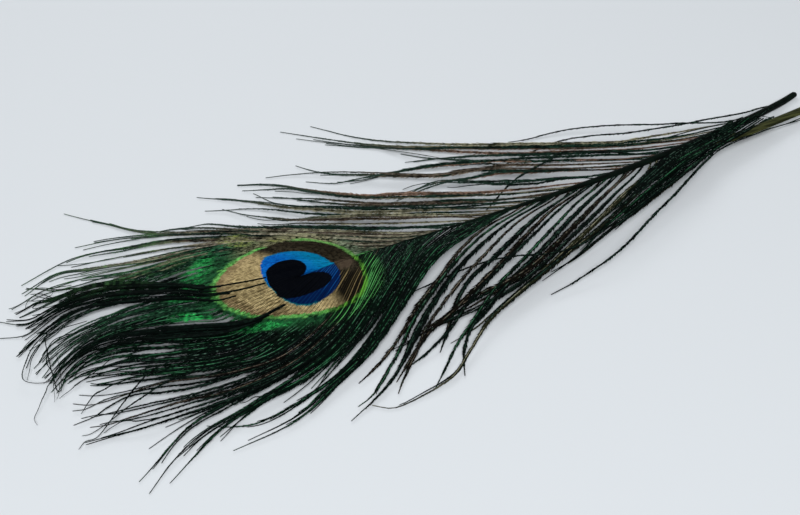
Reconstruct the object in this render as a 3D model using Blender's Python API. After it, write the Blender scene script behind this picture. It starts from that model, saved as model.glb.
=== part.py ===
"""A peacock tail feather, cut short and lying on a flat surface.

The feather grew as one piece, so it is one solid: a thin arched shaft, the knitted eye as a
domed disc, and a flat tapering lock for each main barb or clump of barbs, all fused together.
Its shaft runs along X, with the cut end at +X and the tip fringe at -X. The surface it lies on
is z = 0. Points below are millimetres on that surface, in a drawing whose middle is MIDDLE.
"""
import bisect
import math

import bmesh
import bpy
from mathutils import Vector

MM = 0.001
MIDDLE = (26.98, 12.85)        # middle of the feather's outline in the drawing

# The shaft, from the cut end to the notch of the eye's heart: x, y, height, radius.
SHAFT = [
    (178.2, 11.2, 1.05, 0.85),
    (177.6, 11.0, 1.05, 1.2),
    (169.0, 8.9, 1.15, 1.35),
    (150.0, 3.7, 3.6, 1.35),
    (130.0, 0.0, 5.6, 1.3),
    (105.0, -3.1, 6.8, 1.25),
    (75.0, -4.4, 7.2, 1.15),
    (45.0, -3.8, 7.2, 1.0),
    (20.0, -2.4, 7.0, 0.85),
    (0.0, -1.0, 6.8, 0.75),
    (-18.0, 0.1, 6.5, 0.6),
    (-34.0, 0.7, 6.2, 0.45),
]
SHAFT_RINGS = 22
SHAFT_SIDES = 8
# Beyond the shaft the feather's middle sinks towards the surface: x, y, height.
TIP_LINE = [(-60.0, 0.4, 5.4), (-90.0, -2.0, 3.2), (-124.0, -6.0, 0.6)]

REST_HEIGHT = 0.12             # height of a barb's middle where it lies on the surface
DRAPE_REACH = 40.0             # distance from the shaft over which the vane sinks to the surface

LOCK_HALF_THICKNESS = 0.5
LOCK_ROOT = 0.6                # share of the section at a lock's root
LOCK_TIP = 0.4                 # share of the section left at its tip
LOCK_STEP = 12.5               # distance between a lock's rings
LAYER = 0.45                   # every other lock lies this much higher, so that they cross cleanly
UPPER_HALF_WIDTH = 1.2         # half widths of the locks at their widest
FRINGE_HALF_WIDTH = 1.9
LOWER_HALF_WIDTH = 1.35
STRAY_HALF_WIDTH = 0.7

EYE_CENTRE = (-41.0, 1.5)
EYE_HALF_LENGTH = 26.0
EYE_HALF_WIDTH = 21.0
EYE_HALF_THICKNESS = 0.9
EYE_SEGMENTS = 28
EYE_RINGS = 6

# A sliver of the shaft's skin, split off beside the cut end: x, y, height.
SLIVER = [
    (116.0, -3.2, 6.0),
    (126.0, -4.6, 5.2),
    (140.0, -3.9, 4.4),
    (157.0, -2.4, 3.6),
    (174.0, -0.6, 2.8),
]
SLIVER_RINGS = 7
SLIVER_HALF_WIDTH = 1.9
SLIVER_HALF_THICKNESS = 0.4

TABLE_SIZE = (0.5, 0.4, 0.01)  # metres, larger than the feather

# Each barb: the x of its root on the shaft, then its points out to its tip.
UPPER_VANE = [
    (146, (130, 4.4), (114, 6.2), (100, 8.6), (90, 12.5), (66, 29), (38, 50.5), (24, 64), (11, 83.5)),
    (134, (116, 3.2), (100, 7), (86, 14.2), (70, 25.5), (38, 48.5), (22, 62), (10, 74), (-1, 85)),
    (126, (108, 3.6), (92, 9.8), (76, 20), (46, 42), (32, 52.5), (18, 64.5), (2, 78)),
    (119, (102, 3), (88, 9), (74, 18), (62, 26), (38, 47), (25, 57.5), (9, 69)),
    (113, (98, 2.4), (84, 9.2), (70, 17.5), (57, 27), (45, 35.5), (37, 41), (28, 44.8)),
    (107, (94, 1.8), (80, 8.6), (67, 16.6), (48, 27), (42.5, 32), (37, 40), (28, 53), (19, 64)),
    (101, (86, 2.6), (72, 10), (60, 17), (50, 25.5), (42, 30), (32, 34.8), (8, 42.2), (0, 45.4),
     (-7, 52)),
    (95, (80, 3.6), (66, 11.4), (54, 20), (36, 26), (28, 30), (12, 43.5), (4, 49.5), (-2, 56),
     (-6, 62.5)),
    (90, (76, 2.8), (62, 10.4), (42, 24.5), (33, 27), (26, 31.5), (15, 41.5), (2, 52), (-8, 57.5),
     (-18, 61)),
    (86, (73, 2.3), (62, 7.6), (55, 12.5), (47, 17), (39, 18.6), (31, 21.6), (22, 24.6), (13, 24.6)),
    (80, (66, 0.9), (55, 4.8), (47, 9.6), (40, 14.8), (34, 20), (28, 26), (18, 27.5)),
    (72, (60, -0.2), (50, 3), (34, 10), (14, 24), (4, 29.5), (-8, 42.5), (-18, 56), (-28, 62.5)),
    (64, (52, 0), (42, 3.6), (30, 9.3), (10, 22), (2, 28.5), (-10, 43), (-16, 50.5), (-28, 58.5)),
    (57, (46, -0.2), (36, 3.8), (14, 15.8), (4, 23.5), (-3, 31.5), (-10, 39.5), (-26, 52)),
    (50, (40, 0.2), (30, 4.4), (18, 10.8), (-4, 26), (-13, 34), (-22, 47), (-26, 54.5)),
    (44, (34, 0.8), (22, 6.8), (-2, 21.2), (-12, 30), (-22, 40), (-32, 52.5), (-43, 62.5)),
    (38, (28, 1.2), (16, 7.4), (4, 14.2), (-8, 22.8), (-18, 32), (-28, 43.5), (-44, 53.5)),
    (32, (22, 1.8), (10, 8.2), (-2, 15.6), (-13, 23.5), (-23, 31), (-30, 39), (-39, 51)),
    (26, (16, 2), (4, 8.4), (-8, 16.4), (-18, 23.6), (-26, 30.5), (-32, 37.5)),
    (20, (10, 2.4), (-2, 9.2), (-14, 18.4), (-24, 26), (-34, 33.5), (-41, 40.5), (-46, 45.5),
     (-52, 47.5)),
    (14, (4, 2.6), (-8, 10), (-20, 19.6), (-30, 27.5), (-40, 35), (-48, 42.5), (-56, 48.5), (-64, 51.5)),
    (9, (-1, 3), (-13, 11.6), (-26, 23), (-38, 32.5), (-50, 40.5), (-60, 46.5), (-68, 54), (-76, 65),
     (-85, 76)),
    (5, (-5, 3.4), (-17, 12.8), (-30, 24.5), (-42, 34), (-54, 42), (-66, 49.5), (-76, 54), (-88, 56)),
    (1, (-8, 3.6), (-20, 13.4), (-33, 25), (-46, 33.8), (-60, 42), (-74, 46.5), (-90, 50.5), (-109, 47)),
    (-3, (-12, 4.4), (-24, 14.6), (-38, 25.5), (-52, 33), (-66, 39.5), (-82, 44.5), (-96, 49.5)),
    (-6, (-15, 4.8), (-27, 15.8), (-41, 26), (-56, 31.5), (-72, 36), (-88, 42), (-98, 45.8), (-110, 42)),
    (-8, (-17, 5.4), (-30, 17.6), (-44, 25.8), (-60, 30), (-76, 33), (-92, 38.5), (-104, 40),
     (-115, 36.5)),
    (-10, (-19, 6.4), (-32, 18.6), (-47, 25), (-64, 27.5), (-82, 31), (-98, 33.5), (-114, 31.5)),
]
EYE_FRINGE = [
    (-12, (-21, 7.2), (-34, 18.5), (-50, 23), (-68, 23.5), (-86, 27.5), (-102, 27.5), (-113, 27),
     (-119.5, 32.5)),
    (-15, (-24, 7.6), (-37, 16.6), (-54, 19.5), (-74, 20.5), (-94, 25), (-110, 22), (-121.5, 26)),
    (-18, (-27, 7.6), (-40, 14.4), (-56, 15.5), (-74, 18), (-92, 22), (-106, 20), (-120, 15.5)),
    (-22, (-31, 7), (-44, 11.6), (-60, 11), (-78, 15.5), (-96, 16), (-110, 13.5), (-121, 3)),
    (-26, (-35, 5.6), (-48, 8), (-64, 8), (-82, 10.5), (-98, 9.5), (-112, 5), (-118.5, -1.5)),
    (-30, (-39, 4.4), (-52, 5), (-68, 4), (-84, 3.5), (-100, 2), (-112, -0.5), (-122, -7)),
    (-33, (-44, 1.6), (-58, 1.4), (-72, -0.5), (-86, -2), (-100, -3.4), (-112, -6), (-124, -15.5)),
    (-31, (-40, -1), (-54, -2.6), (-70, -4.5), (-84, -7), (-100, -9), (-115, -9.5)),
    (-27, (-36, -3), (-50, -7), (-66, -8), (-82, -11.5), (-96, -14), (-112, -13)),
    (-23, (-32, -5), (-46, -10.8), (-62, -12), (-78, -14.5), (-94, -18), (-106, -18.6), (-115, -20)),
    (-19, (-28, -7), (-42, -14.6), (-58, -16.5), (-74, -18), (-92, -21.5), (-104, -24), (-114, -26.5)),
    (-15, (-24, -8), (-38, -17.6), (-54, -21), (-72, -22.5), (-88, -25), (-100, -26), (-112, -23)),
    (-11, (-20, -8), (-34, -18.6), (-52, -24.5), (-70, -27), (-86, -28.5), (-100, -29), (-117, -30)),
]
LOWER_VANE = [
    (-6, (-15, -7), (-28, -18.6), (-45, -27.4), (-62, -30.6), (-80, -30.8), (-96, -30), (-110, -28.5)),
    (-2, (-11, -7), (-25, -19.6), (-42, -29.8), (-60, -34), (-76, -35.4), (-90, -38.5), (-106.5, -49.6)),
    (3, (-6, -6.6), (-22, -19.4), (-38, -30.4), (-56, -36.2), (-72, -39.6), (-86, -42), (-97, -47),
     (-106.5, -53.6)),
    (8, (-1, -6.4), (-16, -18.2), (-34, -30.6), (-50, -37), (-66, -39.6), (-80, -42.8), (-91, -48),
     (-100, -53.6)),
    (13, (3, -6.4), (-12, -17.6), (-28, -29.4), (-40, -35.6), (-52, -41.6)),
    (24, (14, -5.6), (4, -9.4), (-8, -17.8), (-24, -30), (-40, -39.4), (-56, -44), (-70, -45.6),
     (-78, -43.5), (-84, -40)),
    (33, (22, -6.0), (10, -8.8), (-4, -17.2), (-20, -29), (-34, -38), (-48, -44), (-60, -48.4),
     (-76, -50.2)),
    (41, (30, -6.2), (20, -8.8), (10, -11.6), (0, -16.6), (-16, -27.4), (-32, -37.6), (-46, -43.6),
     (-62, -50), (-81, -51)),
    (46, (38, -5.8), (30, -7.2), (21, -10.3), (12, -14.7), (2.5, -20.6), (-10, -28), (-22.5, -36.9),
     (-39, -46.2)),
    (52, (43, -6), (33, -8.4), (22, -12.2), (10, -17.8), (-2, -24.8), (-14, -32.6), (-26, -42.5),
     (-38, -51), (-44, -53.3)),
    (57, (48, -6.4), (38, -8.6), (28, -11.8), (18, -15.8), (8, -20.6), (-4, -28), (-16, -37.2),
     (-30, -48.5), (-48, -57.6)),
    (61, (52, -7), (44, -9), (34, -12.6), (18, -20), (7.5, -25.2), (-2.5, -31), (-13, -37.4),
     (-20, -43.8), (-32.6, -53)),
    (67, (58, -7.4), (46, -11.2), (34, -16), (22, -21.2), (12, -24.8), (5, -29.2), (-1, -34),
     (-7, -40), (-13, -45.6)),
    (71, (62, -7.6), (52, -10.4), (42, -14.8), (32, -19.4), (22, -24.4), (10, -29.4), (-2, -34.6),
     (-15, -39.6), (-30, -50)),
    (75, (66, -7.4), (56, -11), (42, -17.4), (30, -22.6), (15, -29), (2.5, -35), (-6, -40.2),
     (-16, -44.2), (-25.6, -47.2)),
    (80, (71, -7.8), (60, -12), (46, -18.8), (30, -26), (15, -32.6), (3.8, -39.4), (-7, -46),
     (-16, -53), (-21.4, -57.3)),
    (85, (76, -8), (64, -13.2), (52.5, -18.4), (38, -25), (21, -32), (9, -37.6), (0, -42.5),
     (-7, -49.4), (-12, -57)),
    (90, (81, -8), (70, -13), (60, -17.6), (47.5, -23.2), (38, -27.2), (28, -30.6), (18, -32.2),
     (5, -32.8), (-16, -36.6)),
    (95, (87, -8.2), (76, -13), (63, -19), (47.5, -25.4), (32, -31.4), (20, -35), (4, -37),
     (-12, -36.8), (-24, -38.4)),
    (101, (93, -8.8), (80, -14.4), (64, -21.2), (48, -27.6), (34, -32.4), (18, -37.4), (2, -42.4),
     (-8, -44.6)),
    (107, (98, -9.4), (86, -14.8), (70, -21.4), (54, -27.2), (38, -32), (20, -37.6), (6, -43),
     (-6, -50.6), (-16, -56.6), (-29, -58.6), (-36, -58.6), (-40.6, -55)),
    (113, (104, -10), (90, -15.8), (76, -20.6), (62, -24.8), (48, -28.8), (36, -31.2), (20, -32.2),
     (6, -33)),
    (124, (112, -11.8), (100, -16.4), (88, -20), (72, -24.8), (56, -29.2), (44, -32), (31, -33.4)),
    (132, (120, -6.6), (108, -10.2), (96, -14.2), (84, -18.4), (70, -23), (56, -27), (45, -30.3)),
    (141, (128, -5.6), (116, -8.8), (104, -12), (92, -15.6), (80, -20), (66, -25.2)),
]
# Long barbs that have come away from their neighbours and lie across them or beside them.
STRAYS = [
    (152, (145, 4.4), (136, 4.3), (128, 5.8), (120, 9.4), (114, 12), (108, 15.6), (95, 24.5),
     (82, 31), (66, 37)),
    (166, (158, 8.3), (150, 7.1), (140, 6.7), (132, 6.9), (124, 7.7), (115, 9.3), (100, 13.4),
     (88, 19.8), (76, 23.6), (50, 24.6)),
    (129, (119, -10), (110, -14.9), (100, -19.8), (90, -24.4), (80, -28.4), (70, -32.6), (60, -36.4),
     (50, -38.8), (30, -40.7)),
    (124, (104, -12.4), (84, -21), (64, -26.6), (48, -29.8), (37, -28.4), (27, -24.4), (14, -21.4),
     (0, -20), (-12, -20)),
    (104, (86, 6.5), (74, 14.5), (67, 13), (58, 11.2), (50, 9.4), (42, 7), (35, 3.8)),
]


def share_of(value, start, end):
    """How far value lies from start to end, from 0 to 1."""
    return (value - start) / (end - start)


def along(line, x):
    """The other values of a line of (x, ...) points at x; the points run from +X to -X."""
    x = min(max(x, line[-1][0]), line[0][0])
    i = bisect.bisect_left([-point[0] for point in line[1:-1]], -x)
    share = share_of(x, line[i][0], line[i + 1][0])
    return [a + (b - a) * share for a, b in zip(line[i][1:], line[i + 1][1:])]


def height(x, y):
    """Height of the feather's middle layer: it arches with the shaft and sinks away from it."""
    middle_y, middle_z = along([point[:3] for point in SHAFT] + TIP_LINE, x)
    sink = math.exp(-((y - middle_y) / DRAPE_REACH) ** 2)
    return REST_HEIGHT + (middle_z - REST_HEIGHT) * sink


def spline(points, count, steps=12):
    """count evenly spaced points on a smooth curve through the given points."""
    ends = [points[0] * 2 - points[1]] + points + [points[-1] * 2 - points[-2]]
    dense = []
    for i in range(1, len(ends) - 2):
        a, b, c, d = ends[i - 1:i + 3]
        for k in range(steps):
            t = k / steps
            bend = (2 * a - 5 * b + 4 * c - d) * t ** 2 + (3 * b - a - 3 * c + d) * t ** 3
            dense.append(b + 0.5 * ((c - a) * t + bend))
    dense.append(points[-1])
    reach = [0.0]
    for a, b in zip(dense, dense[1:]):
        reach.append(reach[-1] + (b - a).length)
    even = []
    for k in range(count):
        target = reach[-1] * k / (count - 1)
        i = min(bisect.bisect_right(reach, target), len(reach) - 1)
        even.append(dense[i - 1].lerp(dense[i], share_of(target, reach[i - 1], reach[i])))
    return even


def place(x, y, z):
    """A point of the drawing, in metres about the feather's middle."""
    return Vector((x - MIDDLE[0], y - MIDDLE[1], z)) * MM


def new_collection(name):
    collection = bpy.data.collections.new(name)
    bpy.context.scene.collection.children.link(collection)
    return collection


def move_to(collection, thing):
    for user in list(thing.users_collection):
        user.objects.unlink(thing)
    collection.objects.link(thing)


def hide(guide):
    guide.hide_render = True
    guide.display_type = "WIRE"


def new_material(name, colour, roughness, metallic):
    material = bpy.data.materials.new(name)
    material.use_nodes = True
    shader = material.node_tree.nodes["Principled BSDF"]
    shader.inputs["Base Color"].default_value = (*colour, 1.0)
    shader.inputs["Roughness"].default_value = roughness
    shader.inputs["Metallic"].default_value = metallic
    return material


def outline(name, corners, guides):
    """A closed flat outline in millimetres, used as the section of a swept curve."""
    curve = bpy.data.curves.new(name, "CURVE")
    loop = curve.splines.new("POLY")
    loop.points.add(len(corners) - 1)
    for spot, corner in zip(loop.points, corners):
        spot.co = (corner[0] * MM, corner[1] * MM, 0.0, 1.0)
    loop.use_cyclic_u = True
    section = bpy.data.objects.new(name, curve)
    guides.objects.link(section)
    hide(section)
    return section


def diamond(name, half_width, guides):
    corners = [(half_width, 0), (0, LOCK_HALF_THICKNESS), (-half_width, 0), (0, -LOCK_HALF_THICKNESS)]
    return outline(name, corners, guides)


def sweep(name, points, section, collection):
    """One closed mesh: the section swept through points of x, y, height and scale."""
    curve = bpy.data.curves.new(name, "CURVE")
    curve.dimensions = "3D"
    curve.twist_mode = "Z_UP"
    curve.bevel_mode = "OBJECT"
    curve.bevel_object = section
    curve.use_fill_caps = True
    path = curve.splines.new("POLY")
    path.points.add(len(points) - 1)
    for spot, point in zip(path.points, points):
        spot.co = (*place(*point[:3]), 1.0)
        spot.radius = point[3]
    swept = bpy.data.objects.new(name, curve)
    collection.objects.link(swept)
    bpy.context.view_layer.update()
    mesh = bpy.data.meshes.new_from_object(swept.evaluated_get(bpy.context.evaluated_depsgraph_get()))
    bpy.data.objects.remove(swept)
    weld = bmesh.new()
    weld.from_mesh(mesh)
    bmesh.ops.remove_doubles(weld, verts=weld.verts, dist=0.01 * MM)
    bmesh.ops.recalc_face_normals(weld, faces=weld.faces)
    weld.to_mesh(mesh)
    weld.free()
    solid = bpy.data.objects.new(name, mesh)
    collection.objects.link(solid)
    return solid


def make_shaft(parts, guides):
    turns = [math.tau * (k + 0.5) / SHAFT_SIDES for k in range(SHAFT_SIDES)]
    section = outline("shaft_section", [(math.cos(turn), math.sin(turn)) for turn in turns], guides)
    end, body = [Vector(point) for point in SHAFT[:1]], [Vector(point) for point in SHAFT[1:]]
    return sweep("feather", end + spline(body, SHAFT_RINGS), section, parts)


def make_sliver(growths, guides):
    wide = SLIVER_HALF_WIDTH
    thick = SLIVER_HALF_THICKNESS
    corners = [(wide, 0), (0.6 * wide, thick), (-0.6 * wide, thick), (-wide, 0), (0, -0.6 * thick)]
    section = outline("sliver_section", corners, guides)
    sweep("sliver", spline([Vector((*point, 1.0)) for point in SLIVER], SLIVER_RINGS), section, growths)


def make_eye(growths):
    """The knitted part of the vanes around the coloured eye, a thin disc draped over the arch."""
    bpy.ops.mesh.primitive_uv_sphere_add(segments=EYE_SEGMENTS, ring_count=EYE_RINGS, radius=1.0)
    eye = bpy.context.object
    eye.name = "eye"
    move_to(growths, eye)
    for vertex in eye.data.vertices:
        x = EYE_CENTRE[0] + vertex.co.x * EYE_HALF_LENGTH
        y = EYE_CENTRE[1] + vertex.co.y * EYE_HALF_WIDTH
        vertex.co = place(x, y, height(x, y) + vertex.co.z * EYE_HALF_THICKNESS)


def lock_scale(share):
    """A lock swells from its root and tapers to its tip."""
    swell = LOCK_ROOT + (1 - LOCK_ROOT) * min(1.0, 5 * share)
    return swell - (1 - LOCK_TIP) * share ** 1.5


def make_lock(name, barb, layer, section, growths):
    """A lock that grows from the shaft, sinks with the vane and rests on its tip."""
    root = Vector((barb[0], along(SHAFT, barb[0])[0]))
    flat = spline([root] + [Vector(point) for point in barb[1:]], 60)
    length = sum((b - a).length for a, b in zip(flat, flat[1:]))
    rings = round(length / LOCK_STEP) + 2
    points = []
    for k, spot in enumerate(spline(flat, rings)):
        share = k / (rings - 1)
        lift = layer * LAYER * min(1.0, 4 * share, 4 * (1 - share))
        rest = REST_HEIGHT * share ** 3
        z = height(spot.x, spot.y) * (1 - share ** 3) + rest + lift
        points.append(Vector((spot.x, spot.y, z, lock_scale(share))))
    sweep(name, points, section, growths)


def make_locks(family, barbs, half_width, growths, guides):
    section = diamond(f"{family}_section", half_width, guides)
    for k, barb in enumerate(barbs):
        make_lock(f"{family}_{k + 1}", barb, k % 2, section, growths)


def make_table(guides):
    """Everything below the surface is cut away, so that what rests on it rests flat."""
    bpy.ops.mesh.primitive_cube_add(size=1.0)
    table = bpy.context.object
    table.name = "table"
    move_to(guides, table)
    table.scale = TABLE_SIZE
    table.location = (0.0, 0.0, -TABLE_SIZE[2] / 2)
    hide(table)
    return table


def fuse(feather, growths, table):
    union = feather.modifiers.new("grown_together", "BOOLEAN")
    union.operation = "UNION"
    union.operand_type = "COLLECTION"
    union.collection = growths
    cut = feather.modifiers.new("resting", "BOOLEAN")
    cut.operation = "DIFFERENCE"
    cut.object = table


def main():
    for old in list(bpy.data.objects):
        bpy.data.objects.remove(old)
    parts = new_collection("peacock_feather")
    growths = new_collection("growths")
    guides = new_collection("guides")
    feather = make_shaft(parts, guides)
    make_sliver(growths, guides)
    make_eye(growths)
    make_locks("upper", UPPER_VANE, UPPER_HALF_WIDTH, growths, guides)
    make_locks("fringe", EYE_FRINGE, FRINGE_HALF_WIDTH, growths, guides)
    make_locks("lower", LOWER_VANE, LOWER_HALF_WIDTH, growths, guides)
    make_locks("stray", STRAYS, STRAY_HALF_WIDTH, growths, guides)
    for growth in growths.objects:
        hide(growth)
    fuse(feather, growths, make_table(guides))
    feather.data.materials.append(new_material("barbs", (0.02, 0.06, 0.03), 0.5, 0.2))


main()
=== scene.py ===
"""The looks of the peacock feather: every barb with its barbules, the knitted eye and the shaft.

Barbs follow listed guides, drawn in millimetres on the surface the feather lies on. More
barbs are laid between each pair of guides, and each carries two rows of small curved barbules.
"""
import math
import bpy
import numpy as np
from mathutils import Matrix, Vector


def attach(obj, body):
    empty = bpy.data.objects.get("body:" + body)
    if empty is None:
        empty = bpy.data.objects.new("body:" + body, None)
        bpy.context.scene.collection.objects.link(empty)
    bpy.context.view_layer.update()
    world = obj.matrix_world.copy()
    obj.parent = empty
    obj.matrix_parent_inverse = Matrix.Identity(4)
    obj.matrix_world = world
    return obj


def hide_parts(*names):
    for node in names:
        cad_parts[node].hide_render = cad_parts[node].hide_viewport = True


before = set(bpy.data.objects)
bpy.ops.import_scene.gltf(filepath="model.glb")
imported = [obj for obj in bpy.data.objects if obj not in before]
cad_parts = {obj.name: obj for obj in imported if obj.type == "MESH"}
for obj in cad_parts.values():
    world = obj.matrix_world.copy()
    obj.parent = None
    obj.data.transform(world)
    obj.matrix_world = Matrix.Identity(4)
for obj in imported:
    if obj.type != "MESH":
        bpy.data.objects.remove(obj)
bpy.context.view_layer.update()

MM = 0.001
SEED = 7
MIDDLE = (26.98, 12.85)        # middle of the feather's outline in the drawing

# The shaft, from the cut end to the notch of the eye's heart: x, y, height, radius.
SHAFT = [
    (178.2, 11.2, 1.05, 0.85),
    (177.6, 11.0, 1.05, 1.2),
    (169.0, 8.9, 1.15, 1.35),
    (150.0, 3.7, 3.6, 1.35),
    (130.0, 0.0, 5.6, 1.3),
    (105.0, -3.1, 6.8, 1.25),
    (75.0, -4.4, 7.2, 1.15),
    (45.0, -3.8, 7.2, 1.0),
    (20.0, -2.4, 7.0, 0.85),
    (0.0, -1.0, 6.8, 0.75),
    (-18.0, 0.1, 6.5, 0.6),
    (-34.0, 0.7, 6.2, 0.45),
]
# How the middle of the vane goes on beyond the shaft's end: x, y, height.
TIP_LINE = [(-60.0, 0.4, 5.4), (-90.0, -2.0, 3.2), (-124.0, -6.0, 0.6)]
REST_HEIGHT = 0.12             # height of a barb's middle where it lies on the surface
DRAPE_REACH = 40.0             # distance from the shaft over which the vane sinks to the surface
# The sliver of the shaft's skin, from where it splits off to its end: x, y, height.
SLIVER = [
    (116.0, -3.2, 6.0),
    (126.0, -4.6, 5.2),
    (140.0, -3.9, 4.4),
    (157.0, -2.4, 3.6),
    (174.0, -0.6, 2.8),
]

# Each barb: the x of its root on the shaft, then its points out to its tip.
UPPER_VANE = [
    (146, (130, 4.4), (114, 6.2), (100, 8.6), (90, 12.5), (66, 29), (38, 50.5), (24, 64), (11, 83.5)),
    (134, (116, 3.2), (100, 7), (86, 14.2), (70, 25.5), (38, 48.5), (22, 62), (10, 74), (-1, 85)),
    (126, (108, 3.6), (92, 9.8), (76, 20), (46, 42), (32, 52.5), (18, 64.5), (2, 78)),
    (119, (102, 3), (88, 9), (74, 18), (62, 26), (38, 47), (25, 57.5), (9, 69)),
    (113, (98, 2.4), (84, 9.2), (70, 17.5), (57, 27), (45, 35.5), (37, 41), (28, 44.8)),
    (107, (94, 1.8), (80, 8.6), (67, 16.6), (48, 27), (42.5, 32), (37, 40), (28, 53), (19, 64)),
    (101, (86, 2.6), (72, 10), (60, 17), (50, 25.5), (42, 30), (32, 34.8), (8, 42.2), (0, 45.4),
     (-7, 52)),
    (95, (80, 3.6), (66, 11.4), (54, 20), (36, 26), (28, 30), (12, 43.5), (4, 49.5), (-2, 56),
     (-6, 62.5)),
    (90, (76, 2.8), (62, 10.4), (42, 24.5), (33, 27), (26, 31.5), (15, 41.5), (2, 52), (-8, 57.5),
     (-18, 61)),
    (86, (73, 2.3), (62, 7.6), (55, 12.5), (47, 17), (39, 18.6), (31, 21.6), (22, 24.6), (13, 24.6)),
    (80, (66, 0.9), (55, 4.8), (47, 9.6), (40, 14.8), (34, 20), (28, 26), (18, 27.5)),
    (72, (60, -0.2), (50, 3), (34, 10), (14, 24), (4, 29.5), (-8, 42.5), (-18, 56), (-28, 62.5)),
    (64, (52, 0), (42, 3.6), (30, 9.3), (10, 22), (2, 28.5), (-10, 43), (-16, 50.5), (-28, 58.5)),
    (57, (46, -0.2), (36, 3.8), (14, 15.8), (4, 23.5), (-3, 31.5), (-10, 39.5), (-26, 52)),
    (50, (40, 0.2), (30, 4.4), (18, 10.8), (-4, 26), (-13, 34), (-22, 47), (-26, 54.5)),
    (44, (34, 0.8), (22, 6.8), (-2, 21.2), (-12, 30), (-22, 40), (-32, 52.5), (-43, 62.5)),
    (38, (28, 1.2), (16, 7.4), (4, 14.2), (-8, 22.8), (-18, 32), (-28, 43.5), (-44, 53.5)),
    (32, (22, 1.8), (10, 8.2), (-2, 15.6), (-13, 23.5), (-23, 31), (-30, 39), (-39, 51)),
    (26, (16, 2), (4, 8.4), (-8, 16.4), (-18, 23.6), (-26, 30.5), (-32, 37.5)),
    (20, (10, 2.4), (-2, 9.2), (-14, 18.4), (-24, 26), (-34, 33.5), (-41, 40.5), (-46, 45.5),
     (-52, 47.5)),
    (14, (4, 2.6), (-8, 10), (-20, 19.6), (-30, 27.5), (-40, 35), (-48, 42.5), (-56, 48.5), (-64, 51.5)),
    (9, (-1, 3), (-13, 11.6), (-26, 23), (-38, 32.5), (-50, 40.5), (-60, 46.5), (-68, 54), (-76, 65),
     (-85, 76)),
    (5, (-5, 3.4), (-17, 12.8), (-30, 24.5), (-42, 34), (-54, 42), (-66, 49.5), (-76, 54), (-88, 56)),
    (1, (-8, 3.6), (-20, 13.4), (-33, 25), (-46, 33.8), (-60, 42), (-74, 46.5), (-90, 50.5), (-109, 47)),
    (-3, (-12, 4.4), (-24, 14.6), (-38, 25.5), (-52, 33), (-66, 39.5), (-82, 44.5), (-96, 49.5)),
    (-6, (-15, 4.8), (-27, 15.8), (-41, 26), (-56, 31.5), (-72, 36), (-88, 42), (-98, 45.8), (-110, 42)),
    (-8, (-17, 5.4), (-30, 17.6), (-44, 25.8), (-60, 30), (-76, 33), (-92, 38.5), (-104, 40),
     (-115, 36.5)),
    (-10, (-19, 6.4), (-32, 18.6), (-47, 25), (-64, 27.5), (-82, 31), (-98, 33.5), (-114, 31.5)),
]
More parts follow.
